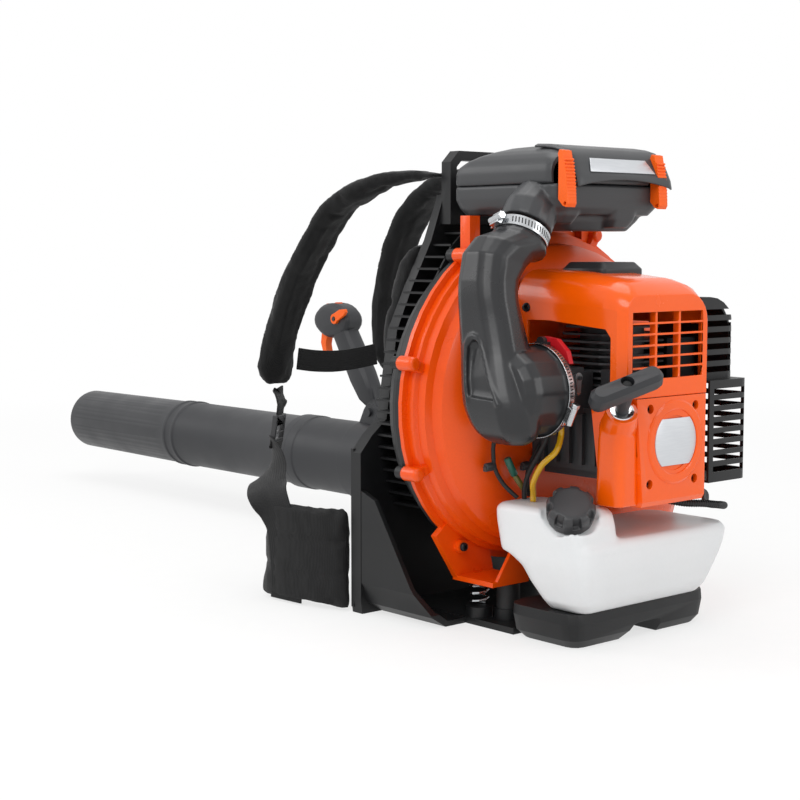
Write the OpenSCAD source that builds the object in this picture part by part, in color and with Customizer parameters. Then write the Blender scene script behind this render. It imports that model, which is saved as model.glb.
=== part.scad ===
// Backpack leaf blower with a two-stroke engine, volute fan, blower tube and harness.
// Frame: +Z up, +Y is the way the wearer faces, the engine is at -Y, the tube is at +X.
// Origin: on the ground, straight below the crank axis, in the split plane of the fan housing.

/* [Fan] */
// Height of the crank and fan axis above the ground
axis_z = 210; // [205:1:225]
// Volute flange radius at its narrow end, straight below the axis
volute_r0 = 150; // [146:1:156]
// Growth of the volute radius for each degree
volute_gain = 0.285; // [0.26:0.005:0.3]
// Depth of the engine-side half
outer_depth = 62; // [60:1:64]
// Depth of the wearer-side half
inner_depth = 38; // [36:1:42]
// Wall of both fan housing halves
housing_wall = 3; // [2:0.5:4]
// Radius of the fan wheel
fan_r = 112; // [104:1:114]
// Number of blades on the fan wheel
fan_blades = 20; // [12:1:26]

/* [Tube] */
// Distance of the tube axis from the fan axis
tube_x = 178; // [176:1:182]
// Height of the tube axis above the ground
tube_z = 98; // [96:1:100]
// Outer radius of the blower tubes
tube_r = 49; // [48:0.5:50]
// Wall of the blower tubes
tube_wall = 2; // [1.5:0.5:3]
// Mouth of the nozzle, from the housing split plane
tube_end = 1192; // [1100:4:1300]
// Nozzle outer radius at the mouth
mouth_r = 47; // [45:0.5:47.5]

/* [Engine] */
// Middle plane of the cylinder
cylinder_y = -125; // [-126:1:-124]
// Piston radius
piston_r = 26; // [22:0.5:28]
// Running clearance between shafts and their bores
run_gap = 0.05; // [0.03:0.01:0.08]
// Stroke of the piston
stroke = 30; // [26:1:30]
// Front face of the starter cover
cover_front = -205; // [-208:1:-204]
// Wall of the engine and starter covers
cover_wall = 3; // [2:0.5:4]

/* [Air filter] */
// Height of the seam between filter tray and cover
seam_z = 450; // [449:1:453]
// Height of the filter cover above the seam
lid_h = 41; // [36:1:48]
// Wall of filter tray and cover
filter_wall = 2.5; // [2:0.5:3]

/* [Fuel tank] */
// Top of the base shoe, where the tank stands
shoe_h = 36; // [32:1:38]
// Wall of the fuel tank
tank_wall = 3; // [2:0.5:4]
// Radius of the filler cap
cap_r = 23; // [20:0.5:25]

/* [Harness] */
// Width of the shoulder pads
pad_w = 56; // [48:1:60]
// Thickness of the shoulder pads
pad_t = 15; // [12:1:18]
// Width of the lower webbing
web_w = 48; // [40:1:50]
// Thickness of the webbing
web_t = 2.4; // [2:0.2:3]

/* [Hidden] */
$fn = 48;

gap = 0.3;           // clearance between neighbours that don't touch
touch = 0.02;        // overlap that joins shapes inside one node
plastic = [0.2, 0.2, 0.21];
black = [0.07, 0.07, 0.075];
orange = [1, 0.33, 0.05];
steel = [0.7, 0.71, 0.72];
fabric = [0.1, 0.1, 0.11];

// ---------------------------------------------------------------- helpers
function unit(v) = v / norm(v);

// Rounded rectangle, anticlockwise, s steps in each corner
function rrect(w, h, r, s = 3) = [
  for (c = [0:3])
    for (i = [0:s])
      let (a = 90 * c + 90 * i / s)
        [(c == 0 || c == 3 ? w / 2 - r : r - w / 2) + r * cos(a), (c < 2 ? h / 2 - r : r - h / 2) + r * sin(a)]
];

// Rounded rectangle given by its limits
function box_ring(x0, x1, y0, y1, r, s = 3) = [for (p = rrect(x1 - x0, y1 - y0, r, s)) p + [x0 + x1, y0 + y1] / 2];
function at_z(ring, z) = [for (p = ring) [p.x, p.y, z]];
function at_y(ring, y) = [for (p = ring) [p.x, y, p.y]];
function on_frame(ring, c, u, v) = [for (p = ring) c + p.x * u + p.y * v];

// Closed solid through rings of equal count; each ring is anticlockwise seen from the last ring
module loft(rings) {
  n = len(rings[0]);
  m = len(rings);
  polyhedron(
    points = [for (ring = rings) each ring],
    faces = [
      [for (i = [0:n - 1]) i],
      [for (i = [n - 1:-1:0]) (m - 1) * n + i],
      for (k = [0:m - 2])
        for (i = [0:n - 1])
          let (a = k * n + i, b = k * n + (i + 1) % n)
            each [[a, a + n, b + n], [a, b + n, b]]
    ]
  );
}

// Smooth curve through hand-set points
function blend4(p0, p1, p2, p3, t) =
  0.5 * (2 * p1 + (p2 - p0) * t + (2 * p0 - 5 * p1 + 4 * p2 - p3) * t * t + (3 * p1 - p0 - 3 * p2 + p3) * t * t * t);
function curve(p, n) = [
  for (i = [0:len(p) - 2])
    for (k = [0:n - 1])
      blend4(p[max(i - 1, 0)], p[i], p[i + 1], p[min(i + 2, len(p) - 1)], k / n),
  p[len(p) - 1]
];
function tangent(p, i) = unit(p[min(i + 1, len(p) - 1)] - p[max(i - 1, 0)]);
function carry(p, u, i = 0) =
  i == len(p) ? [] :
  let (t = tangent(p, i), w = unit(u - (u * t) * t)) concat([w], carry(p, w, i + 1));
function circle_ring(r, n) = [for (k = [0:n - 1]) [r * cos(360 * k / n), r * sin(360 * k / n)]];

// Ring section carried along a path; u is the section's first direction at the start
module sweep(path, ring, u) {
  us = carry(path, u);
  loft([for (i = [0:len(path) - 1]) on_frame(ring, path[i], us[i], cross(tangent(path, i), us[i]))]);
}

// Cylinder along +X, +Y, or any direction, from its start
module rod_x(x0, x1, y, z, r) { translate([x0, y, z]) rotate([0, 90, 0]) cylinder(h = x1 - x0, r = r); }
module rod_y(y0, y1, x, z, r) { translate([x, y0, z]) rotate([-90, 0, 0]) cylinder(h = y1 - y0, r = r); }
module rod_z(z0, z1, x, y, r) { translate([x, y, z0]) cylinder(h = z1 - z0, r = r); }
module block(x0, x1, y0, y1, z0, z1) { translate([x0, y0, z0]) cube([x1 - x0, y1 - y0, z1 - z0]); }
module to_frame(o, u, v) {
  w = cross(u, v);
  multmatrix([[u.x, v.x, w.x, o.x], [u.y, v.y, w.y, o.y], [u.z, v.z, w.z, o.z], [0, 0, 0, 1]]) children();
}
// Plate in the XZ plane from y0 to y1
module plate_y(y0, y1) { translate([0, y1, 0]) rotate([90, 0, 0]) linear_extrude(y1 - y0) children(); }
// Plate in the YZ plane from x0 to x1
module plate_yz(x0, x1) { translate([x0, 0, 0]) rotate([90, 0, 90]) linear_extrude(x1 - x0) children(); }

// ---------------------------------------------------------------- fan housing
duct_corner_r = 60;                 // corner of the outlet duct, concentric with the outlet
duct_side = volute_r0 + volute_gain * 270;
flange_t = 5;
flange_over = 7;
outlet_r = 44;
outlet_neck = 24;
outer_steps = [[7, 14], [12, 15.5], [12, 26], [20, 28], [22, 40], [34, 51], [52, 58], [84, outer_depth]];
inner_steps = [[7, 12], [8, 18], [13, 28], [24, 35], [46, inner_depth]];
crank_hole_r = 46;
intake_r = 104;

// Volute flange outline about the axis, x to the right and z up, clockwise seen from the engine
function volute_point(phi, inset) = (volute_r0 + volute_gain * phi - inset) * [-sin(phi), -cos(phi)];
function inset_point(p, inset) = p * (1 - inset / norm(p));
duct_base = tube_z - axis_z - duct_corner_r;
function volute_outline(inset) = concat(
  [for (phi = [0:7.5:270]) volute_point(phi, inset)],
  [for (a = [0:-15:-90])
    inset_point([duct_side - duct_corner_r + duct_corner_r * cos(a), tube_z - axis_z + duct_corner_r * sin(a)], inset)],
  [inset_point([70, duct_base], inset)]
);
function reversed(p) = [for (i = [len(p) - 1:-1:0]) p[i]];
function volute_ring(inset, y) = at_y([for (p = reversed(volute_outline(inset))) [p.x, p.y + axis_z]], y);
// Shell of one half; its outside also carries the flange
module volute_bowl(steps, side, wall) {
  first = wall > 0 ? [volute_ring(steps[0][0] + wall, -side)] :
    [volute_ring(0, 0), volute_ring(0, side * flange_t), volute_ring(steps[0][0], side * flange_t)];
  rings = concat(first, [for (s = steps) volute_ring(s[0] + wall, side * (s[1] - wall))]);
  loft(side < 0 ? rings : reversed(rings));
}

boss_angles = [38, 74, 110, 150, 206, 232, 256];
boss_r = 6.5;
boss_len = 15;
boss_out = 3;
module at_bosses() {
  for (phi = boss_angles) {
    p = volute_point(phi, -boss_out);
    translate([p.x, 0, p.y + axis_z]) children();
  }
}
foot_top = 50;
foot_t = 5;
foot_x = [[-102, -50], [46, 104]];
foot_y = [-60, 0];
pillar_x = [-85, 82];
pillar_w = 14;

module fan_housing_outer() {
  color(orange) difference() {
    union() {
      volute_bowl(outer_steps, -1, 0);
      at_bosses() rod_y(-boss_len, 0, 0, 0, boss_r);
      // raised ring round the crankcase seat
      rod_y(-outer_depth - 1, -outer_depth + 3, 0, axis_z, crank_hole_r + 10);
      // foot bracket low on the left
      plate_y(-flange_t - 3, 0)
        polygon([[-132, 94], [foot_x[0][0], foot_top - 2], [foot_x[0][1], foot_top - 2], [-60, 90], [-100, 120]]);
      for (foot = foot_x) block(foot[0], foot[1], foot_y[0], foot_y[1] - 1, foot_top - foot_t, foot_top);
      plate_y(foot_y[0], foot_y[0] + 4)
        polygon([[foot_x[0][0] + 6, foot_top - 1], [foot_x[0][1], foot_top - 1], [-52, 86], [-66, 92]]);
      plate_y(foot_y[0], foot_y[0] + 4)
        polygon([[foot_x[1][0], foot_top - 1], [foot_x[1][1] - 6, foot_top - 1], [74, 92], [52, 86]]);
      // pillars that carry the filter tray
      for (x = pillar_x)
        block(x - pillar_w / 2, x + pillar_w / 2, -pillar_w, 0, axis_z + 160, seam_z - 30 - gap);
    }
    volute_bowl(outer_steps, -1, housing_wall);
    rod_y(-outer_depth - 5, -outer_depth + 10, 0, axis_z, crank_hole_r);
    at_bosses() rod_y(-boss_len - 1, 1, 0, 0, 2.2);
  }
}

module fan_housing_inner() {
  color(black) difference() {
    union() {
      volute_bowl(inner_steps, 1, 0);
      at_bosses() rod_y(0, 9, 0, 0, boss_r);
      rod_y(inner_depth - 4, inner_depth + outlet_neck, tube_x, tube_z, outlet_r + 3);
      // rolled lip of the air intake
      translate([0, inner_depth - 2, axis_z]) rotate([-90, 0, 0])
        rotate_extrude() translate([intake_r, 0]) square([5, 5]);
    }
    volute_bowl(inner_steps, 1, housing_wall);
    rod_y(inner_depth - 8, inner_depth + 8, 0, axis_z, intake_r);
    rod_y(inner_depth - 10, inner_depth + outlet_neck + 1, tube_x, tube_z, outlet_r);
    at_bosses() rod_y(-1, 7, 0, 0, 2.2);
    // pillars and foot of the other half pass the flange
    for (x = pillar_x)
      block(x - pillar_w / 2 - gap, x + pillar_w / 2 + gap, -1, 0.001, axis_z + 150, axis_z + 260);
  }
}

screw_r = 2;
module casing_screws() {
  color(black) at_bosses() {
    rod_y(-boss_len - 4, -boss_len, 0, 0, 4.4);
    rod_y(-boss_len - touch, 6, 0, 0, screw_r);
  }
  color(steel) for (x = cover_screw_x, z = cover_screw_z) {
    rod_y(cover_front + 4, cover_front + 8, x, z, 4);
    rod_y(cover_front + 8 - touch, cover_front + 22, x, z, 2.1);
  }
}

// ---------------------------------------------------------------- fan, crank and engine insides
shaft_r = 8;
fan_back = -outer_depth + 16;
fan_width = 46;
module impeller() {
  color(plastic) difference() {
    union() {
      rod_y(fan_back, fan_back + 3, 0, axis_z, fan_r);
      rod_y(fan_back, fan_back + 34, 0, axis_z, 22);
      for (i = [0:fan_blades - 1])
        translate([0, fan_back + 3 - touch, axis_z]) rotate([-90, 360 / fan_blades * i, 0])
          linear_extrude(fan_width) polygon([[56, -2], [86, 7], [fan_r - 2, 24], [fan_r - 3, 26], [84, 9.5], [55, 0.5]]);
      translate([0, fan_back + 2 + fan_width, axis_z]) rotate([-90, 0, 0])
        rotate_extrude() translate([82, 0]) square([fan_r - 82, 3]);
    }
    rod_y(fan_back - 1, fan_back + 36, 0, axis_z, shaft_r + 0.02);
  }
}

web_r = 25;
web_gap = 12;
shaft_front = -172;
module crankshaft() {
  color(steel) union() {
    rod_y(shaft_front, cylinder_y - web_gap / 2, 0, axis_z, shaft_r);
    rod_y(cylinder_y + web_gap / 2, fan_back + 34, 0, axis_z, shaft_r);
    for (side = [-1, 1])
      translate([0, cylinder_y + side * (web_gap / 2 + 3), axis_z]) rotate([-90, 0, 0])
        cylinder(h = 6.001, r = web_r, center = true);
    rod_y(cylinder_y - web_gap / 2 - 1, cylinder_y + web_gap / 2 + 1, 0, axis_z + stroke / 2, 7);
  }
}

bearing_r = 17.5;
bearing_y = [[-157, -146], [-104, -93]];
module main_bearings() {
  color(steel) for (b = bearing_y) difference() {
    rod_y(b[0], b[1], 0, axis_z, bearing_r);
    rod_y(b[0] - 1, b[1] + 1, 0, axis_z, shaft_r + run_gap);
  }
}

case_y = [-157, -outer_depth - 1.5];
case_top = 232;
case_half = 50;
module crankcase() {
  color(plastic) difference() {
    union() {
      block(-case_half, case_half, case_y[0], case_y[1], axis_z - 42, case_top);
      rod_y(case_y[1] - 3, case_y[1], 0, axis_z, crank_hole_r + 8);
      rod_y(case_y[1] - touch, -outer_depth + 2, 0, axis_z, crank_hole_r - gap);
      for (i = [0:4])
        block(-case_half - 5, -case_half + 1, case_y[0] + 4 + 17 * i, case_y[0] + 8 + 17 * i, axis_z - 36, case_top - 8);
      block(-case_half + 8, case_half - 8, case_y[0] + 10, case_y[1] - 10, axis_z - 50, axis_z - 40);
    }
    rod_y(cylinder_y - 20, cylinder_y + 20, 0, axis_z, web_r + 3);
    rod_y(case_y[0] - 1, case_y[1] + 8, 0, axis_z, bearing_r + 0.05);
    rod_z(axis_z, case_top + 1, 0, cylinder_y, piston_r + 1);
  }
}

bore_r = piston_r + run_gap;
head_z = case_top + 66;
fin_count = 9;
module cylinder_fin(z, w, d) {
  translate([0, cylinder_y, z]) linear_extrude(2) difference() {
    square([w, d], center = true);
    for (sx = [-1, 1], sy = [-1, 1]) translate([sx * w / 2, sy * d / 2]) rotate(45) square(14, center = true);
  }
}
module cylinder_block() {
  color(steel) difference() {
    union() {
      block(-40, 40, cylinder_y - 32, cylinder_y + 29, case_top, case_top + 6);
      rod_z(case_top, head_z + 12, 0, cylinder_y, piston_r + 6);
      for (i = [0:fin_count - 1]) cylinder_fin(case_top + 20 + 7 * i, 96 - (i > 6 ? 8 * (i - 6) : 0), 71);
      rod_x(-52, -20, cylinder_y, carb_z, 15);
      rod_x(20, 54, cylinder_y, exhaust_z, 15);
      rod_z(head_z, head_z + 26, 0, cylinder_y, 13);
    }
    rod_z(case_top - 1, head_z, 0, cylinder_y, bore_r);
    rod_z(head_z - 1, head_z + 30, 0, cylinder_y, 7);
    rod_x(-53, -20, cylinder_y, carb_z, 10);
    rod_x(20, 55, cylinder_y, exhaust_z, 10);
  }
}

piston_h = 30;
module piston() {
  color(steel) translate([0, cylinder_y, head_z - piston_h - 1]) difference() {
    union() {
      cylinder(h = piston_h - 11, r = piston_r);
      translate([0, 0, piston_h - 11 - touch]) cylinder(h = 2.04, r = piston_r - 0.8);
      translate([0, 0, piston_h - 9]) cylinder(h = 9, r = piston_r);
    }
    translate([0, 0, -1]) cylinder(h = piston_h - 8, r = piston_r - 4);
    rotate([90, 0, 0]) translate([0, 12, 0]) cylinder(h = 2 * piston_r + 2, r = 5, center = true);
  }
}

module spark_plug() {
  x = 0;
  color(steel) {
    difference() {
      rod_z(head_z + 2, head_z + 26 + touch, x, cylinder_y, 6.9);
      rod_z(head_z + 1, head_z + 6, x, cylinder_y, 4);
    }
    translate([x, cylinder_y, head_z + 26]) cylinder(h = 6, r = 11, $fn = 6);
    rod_z(head_z + 32 - touch, head_z + 42, x, cylinder_y, 5);
  }
}

plug_top = head_z + 42;
module spark_plug_boot() {
  color(black) difference() {
    union() {
      rod_z(head_z + 33, plug_top + 4, 0, cylinder_y, 8.5);
      rod_y(cylinder_y, cylinder_y + 36, 0, plug_top - 2, 4);
    }
    rod_z(head_z + 30, plug_top + 0.2, 0, cylinder_y, 5.15);
  }
}

fly_r = 50;
fly_y = [-172, -161];
module flywheel() {
  color(steel) difference() {
    union() {
      rod_y(fly_y[0] + 3, fly_y[1], 0, axis_z, fly_r);
      for (i = [0:11])
        translate([0, fly_y[0], axis_z]) rotate([-90, 30 * i, 0]) linear_extrude(4)
          polygon([[22, -1.2], [fly_r - 3, 3.8], [fly_r - 3, 6.2], [22, 1.2]]);
    }
    rod_y(fly_y[0] - 1, fly_y[1] + 1, 0, axis_z, shaft_r + 0.02);
  }
}

coil_z = [244.5, 270];
fin_front = cylinder_y - 35.5;
module ignition_coil() {
  color(black) difference() {
    block(-56, -32, fly_y[0] + 1, fin_front - gap, coil_z[0], coil_z[1]);
    rod_y(fly_y[0] - 2, fin_front + 1, 0, axis_z, fly_r + 0.4);
  }
}

// ---------------------------------------------------------------- exhaust
exhaust_z = case_top + 34;
muffler_x = [54, 98];
module muffler() {
  color(steel) difference() {
    translate([0, 0, exhaust_z - 30]) linear_extrude(60)
      polygon(box_ring(muffler_x[0], muffler_x[1], cylinder_y - 32, cylinder_y + 34, 10, 4));
    rod_x(muffler_x[0] - 1, muffler_x[0] + 8, cylinder_y, exhaust_z, 10);
    rod_z(exhaust_z - 31, exhaust_z - 20, muffler_x[1] - 14, cylinder_y - 20, 6);
  }
}

guard_x = [60.4, 126];
guard_y = [-202, -78];
guard_z = [152, 338];
guard_wall = 2.5;
slot_h = 6;
module guard_slots(z0, n, pitch) {
  for (i = [0:n - 1]) {
    z = z0 + pitch * i;
    block(guard_x[0] + 7, guard_x[1] - 6, guard_y[0] - 10, guard_y[0] + 12, z, z + slot_h);
    block(guard_x[1] - 8, guard_x[1] + 10, guard_y[0] + 8, guard_y[1] - 12, z, z + slot_h);
  }
}
module guard_shell(x0, x1, y0, y1, z0, z1, top_r) {
  difference() {
    intersection() {
      translate([0, 0, z0]) linear_extrude(z1 - z0) polygon(box_ring(x0 - 16, x1, y0, y1 + 16, 14, 5));
      plate_y(y0 - 1, y1 + 20) polygon([
        [x0 - 20, z0 - 1], [x1 + 1, z0 - 1], [x1 + 1, z1 - top_r],
        for (a = [0:15:90]) [x1 - top_r + top_r * cos(a), z1 - top_r + top_r * sin(a)], [x0 - 20, z1]
      ]);
      block(x0, x1 + 1, y0 - 1, y1, z0 - 1, z1 + 1);
    }
    intersection() {
      translate([0, 0, z0 + guard_wall]) linear_extrude(z1 - z0)
        polygon(box_ring(x0 - 20, x1 - guard_wall, y0 + guard_wall, y1 + 20, 12, 5));
      plate_y(y0 - 1, y1 + 30) polygon([
        [x0 - 25, z0 - 1], [x1 + 1, z0 - 1], [x1 + 1, z1 - top_r],
        for (a = [0:15:90])
          [x1 - top_r + (top_r - guard_wall) * cos(a), z1 - top_r + (top_r - guard_wall) * sin(a)],
        [x0 - 25, z1 - guard_wall]
      ]);
    }
  }
}
split_guard_z = 252;
module muffler_guard() {
  color(plastic) difference() {
    union() {
      guard_shell(guard_x[0], guard_x[1] - 8, guard_y[0] + 12, guard_y[1], split_guard_z, guard_z[1], 44);
      guard_shell(guard_x[0], guard_x[1], guard_y[0], guard_y[1], guard_z[0], split_guard_z + 3, 6);
    }
    guard_slots(split_guard_z + 10, 6, 11.5);
    guard_slots(guard_z[0] + 10, 8, 11.2);
    block(guard_x[0] - 1, guard_x[1] - 11, guard_y[0] + 15, guard_y[1] + 1, split_guard_z - 1, split_guard_z + 4);
    // lower side is a wide scoop
    block(guard_x[1] - 9, guard_x[1] - 7, guard_y[0] + 8, guard_y[1] - 8, guard_z[0] + 8, split_guard_z - 8);
  }
}

// ---------------------------------------------------------------- covers
cover_x = [-75, 60];
cover_z = [244, 366];
cover_back = -outer_depth - 3;
grille_x = [-60, 45];
grille_z = [262, 326];
// Section of the engine cover across the machine, at a distance in from its outside
function cover_section(inset, top, r_left, r_right) = concat(
  [[cover_x[0] + inset, cover_z[0]], [cover_x[1] - inset, cover_z[0]]],
  [for (a = [0:15:90])
    [cover_x[1] - r_right + (r_right - inset) * cos(a), top - r_right + (r_right - inset) * sin(a)]],
  [for (a = [90:15:180])
    [cover_x[0] + r_left + (r_left - inset) * cos(a), top - r_left + (r_left - inset) * sin(a)]]
);
module cover_solid(inset) {
  i = inset;
  loft([
    at_y(cover_section(i, cover_z[1], 30, 50), cover_back + (i > 0 ? 1 : 0)),
    at_y(cover_section(i, cover_z[1] - 2, 30, 50), cylinder_y),
    at_y(cover_section(i, cover_z[1] - 8, 28, 46), cover_front + 26),
    at_y(cover_section(i + 2, cover_z[1] - 12, 26, 40), cover_front + 10 + i),
    at_y(cover_section(i + 8, cover_z[1] - 16, 22, 34), cover_front + 1 + i)
  ]);
}
module engine_cover() {
  bars = 5;
  pitch = (grille_z[1] - grille_z[0]) / (bars + 1);
  color(orange) {
    difference() {
      cover_solid(0);
      cover_solid(cover_wall);
      block(cover_x[0] - 1, cover_x[1] + 1, cover_front, cover_back - 5, cover_z[0] - 4, cover_z[0] + 0.001);
      block(grille_x[0], grille_x[1], cover_front - 5, cover_front + 20, grille_z[0], grille_z[1]);
      // opening over the carburettor
      plate_yz(cover_x[0] - 5, cover_x[0] + 30)
        polygon([[-188, 200], [-188, 302], [-182, 310], [-110, 316], [-80, 316], [-80, 200]]);
      // opening towards the muffler
      block(cover_x[1] - 20, cover_x[1] + 5, -190, -80, cover_z[0] - 5, 312);
      // seat of the plug cover
      block(plug_cover_x[0] - gap, plug_cover_x[1] + gap, plug_cover_y[0] - gap, plug_cover_y[1] + gap, 340, 380);
    }
    for (i = [1:bars])
      block(grille_x[0] - 1, grille_x[1] + 1, cover_front + 1.5, cover_front + 5,
        grille_z[0] + pitch * i - 1, grille_z[0] + pitch * i + 1);
    for (x = [grille_x[0] + 35, grille_x[0] + 70])
      block(x - 1.5, x + 1.5, cover_front + 1.5, cover_front + 9, grille_z[0] - 1, grille_z[1] + 1);
  }
}

plug_cover_x = [-32, 30];
plug_cover_y = [-142, -82];
module plug_cover() {
  color(plastic) difference() {
    loft([
      at_z(box_ring(plug_cover_x[0], plug_cover_x[1], plug_cover_y[0], plug_cover_y[1], 8), 356),
      at_z(box_ring(plug_cover_x[0], plug_cover_x[1], plug_cover_y[0], plug_cover_y[1], 8), 366),
      at_z(box_ring(plug_cover_x[0] + 5, plug_cover_x[1] - 5, plug_cover_y[0] + 6, plug_cover_y[1] - 5, 8), 373)
    ]);
    rod_z(350, plug_top + 4 + gap, 0, cylinder_y, 9.5);
    block(-6, 6, cylinder_y, -81, 350, plug_top + 3);
  }
}

starter_z = [138, 243.5];
starter_back = -158;
rope_eye = [-70, -200, 232];
rope_dir = unit([-0.42, -0.52, 0.745]);
rope_side = unit([0.778, -0.628, 0]);
grip_turn = 27;
grip_u = cos(grip_turn) * unit(rope_side - (rope_side * rope_dir) * rope_dir)
  + sin(grip_turn) * cross(rope_dir, unit(rope_side - (rope_side * rope_dir) * rope_dir));
module at_rope() { to_frame(rope_eye, grip_u, cross(rope_dir, grip_u)) children(); }

// Plan of the starter cover: its left flank leans in towards the bottom by the given amount
function starter_ring(inset, front, lean) = [
  [-68 + inset * 1.1 + lean * 1.6, starter_back], [-54 + inset * 0.6 + lean, front], [50 - inset, front],
  [57 - inset, front + 9], [60 - inset, starter_back]
];
flank_lean = 11;
post_r = 6;
cover_screw_x = [-34, 34];
cover_screw_z = [160, 233];
module starter_cover() {
  inside = cover_front + cover_wall;
  color(orange) union() {
    difference() {
      union() {
        loft([
          at_z(starter_ring(0, cover_front + 3, flank_lean), starter_z[0]),
          at_z(starter_ring(0, cover_front, flank_lean * 0.9), starter_z[0] + 5),
          at_z(starter_ring(0, cover_front, 0), starter_z[1])
        ]);
        at_rope() translate([0, 0, -24]) cylinder(h = 26, r = 15);
      }
      loft([
        at_z(starter_ring(cover_wall, inside, flank_lean * 0.95), starter_z[0] + cover_wall),
        at_z(starter_ring(cover_wall, inside, 0), starter_z[1] - cover_wall)
      ]);
      block(-100, 100, starter_back, starter_back + 20, 100, 300);
      // the flywheel stands up past the seam, inside the engine cover
      rod_y(inside, starter_back + 1, 0, axis_z, fly_r + 4);
      at_rope() translate([0, 0, -40]) cylinder(h = 60, r = 3);
      at_rope() translate([0, 0, -4]) cylinder(h = 6.2, r1 = 3, r2 = 4.2);
      at_rope() translate([0, 0, 2 - touch]) cylinder(h = 30, r = 16);
      for (x = cover_screw_x, z = cover_screw_z) rod_y(cover_front - 1, cover_front + 8, x, z, 4.6);
      rod_y(cover_front - 1, cover_front + 1, 2, 198, 27);
    }
    // post of the pulley
    rod_y(inside - 1, shaft_front - 1, 0, axis_z, post_r);
    for (x = cover_screw_x, z = cover_screw_z) difference() {
      rod_y(inside - 1, inside + 9, x, z, 6.5);
      rod_y(inside - 2, cover_front + 8, x, z, 4.6);
      rod_y(inside, inside + 10, x, z, 2.3);
    }
    // spacers against the crankcase
    for (x = [-45, 45]) rod_y(inside - 1, case_y[0] - gap, x, 172.5, 3.5);
  }
}

pulley_r = 36;
pulley_y = [-192, -175];
module starter_pulley() {
  color(plastic) difference() {
    union() {
      rod_y(pulley_y[0], pulley_y[0] + 3, 0, axis_z, pulley_r);
      rod_y(pulley_y[0] + 2, pulley_y[1] - 2, 0, axis_z, pulley_r - 7);
      rod_y(pulley_y[1] - 3, pulley_y[1], 0, axis_z, pulley_r);
    }
    rod_y(pulley_y[0] - 1, pulley_y[1] + 1, 0, axis_z, post_r + run_gap);
  }
}

grip_len = 80;
grip_rise = 24;
module starter_grip() {
  color(plastic) at_rope() difference() {
    union() {
      loft([
        at_z(rrect(grip_len - 4, 15, 7, 3), grip_rise),
        at_z(rrect(grip_len, 20, 9.5, 3), grip_rise + 5),
        at_z(rrect(grip_len - 2, 20, 9.5, 3), grip_rise + 14),
        at_z(rrect(grip_len - 10, 13, 6, 3), grip_rise + 19)
      ]);
      translate([0, 0, 2 + gap]) cylinder(h = grip_rise, r1 = 6, r2 = 8);
    }
    translate([0, 0, 2]) cylinder(h = 60, r = 2.6);
    translate([0, 0, grip_rise + 11]) cylinder(h = 20, r = 6.5);
  }
}
module starter_rope() {
  color(black) at_rope() {
    translate([0, 0, -16]) cylinder(h = grip_rise + 16 + 12, r = 1.8);
    translate([0, 0, grip_rise + 11.2]) cylinder(h = 5, r = 4.5);
  }
}

// ---------------------------------------------------------------- intake
carb_z = 250;
adapter_x = [-109, -98];
adapter_r = 42;
carb_x = [-98 + gap, -64];
fuel_ports = [[-82, cylinder_y - 8], [-82, cylinder_y + 10]];
module carburettor() {
  color(steel) difference() {
    union() {
      block(carb_x[0] + 2, carb_x[1] - 2, cylinder_y - 22, cylinder_y + 20, carb_z - 24, carb_z + 22);
      rod_x(carb_x[0], carb_x[1], cylinder_y, carb_z, 20);
      block(carb_x[1] - 4, -52 - touch, cylinder_y - 22, cylinder_y + 24, carb_z - 18, carb_z + 18);
      // throttle spindle, fuel inlet and return
      rod_y(throttle_pivot.y - 6, throttle_pivot.y + 2, throttle_pivot.x, throttle_pivot.z, 2);
      for (p = fuel_ports) rod_z(carb_z - 36, carb_z - 20, p.x, p.y, 3);
    }
    rod_x(-110, -40, cylinder_y, carb_z, 12);
  }
}
module carburettor_adapter() {
  color(plastic) difference() {
    union() {
      rod_x(adapter_x[0], adapter_x[1], cylinder_y, carb_z, adapter_r);
      // ear that carries the choke lever
      block(adapter_x[1] - 5, adapter_x[1], cylinder_y - 8, cylinder_y + 8, carb_z + 38, choke_pivot.z);
      rod_x(adapter_x[1] - 5, adapter_x[1], choke_pivot.y, choke_pivot.z, 5);
      rod_x(adapter_x[1] - 1, adapter_x[1] + 8, choke_pivot.y, choke_pivot.z, 1.8);
    }
    rod_x(adapter_x[0] - 1, adapter_x[0] + 8, cylinder_y, carb_z, adapter_r - 4);
    rod_x(adapter_x[0], adapter_x[1] + 1, cylinder_y, carb_z, 14);
  }
}
choke_pivot = [-94, cylinder_y + 1, carb_z + 47];
module choke_lever() {
  x = [adapter_x[1] + gap, adapter_x[1] + 6];
  color([0.8, 0.05, 0.08]) difference() {
    union() {
      rod_x(x[0], x[1], choke_pivot.y, choke_pivot.z, 5);
      plate_yz(x[0], x[1])
        polygon([for (p = [[-2, 5], [-4.5, -2], [-14, -5], [-28, -21], [-34, -20], [-30, -8], [-17, 3]])
          [choke_pivot.y + p[0], choke_pivot.z + p[1]]]);
    }
    rod_x(x[0] - 1, x[1] + 1, choke_pivot.y, choke_pivot.z, 1.8 + run_gap);
  }
}

neck_base = [-88, -88, 408];
neck_dir = unit([-0.55, -0.1, -0.83]);
neck_u = unit(cross(neck_dir, [0, 1, 0]));
neck_r = 24;
neck_wall = 2.5;
module at_neck(shift = 0) {
  to_frame(neck_base + shift * neck_dir, neck_u, cross(neck_dir, neck_u)) children();
}
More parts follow.
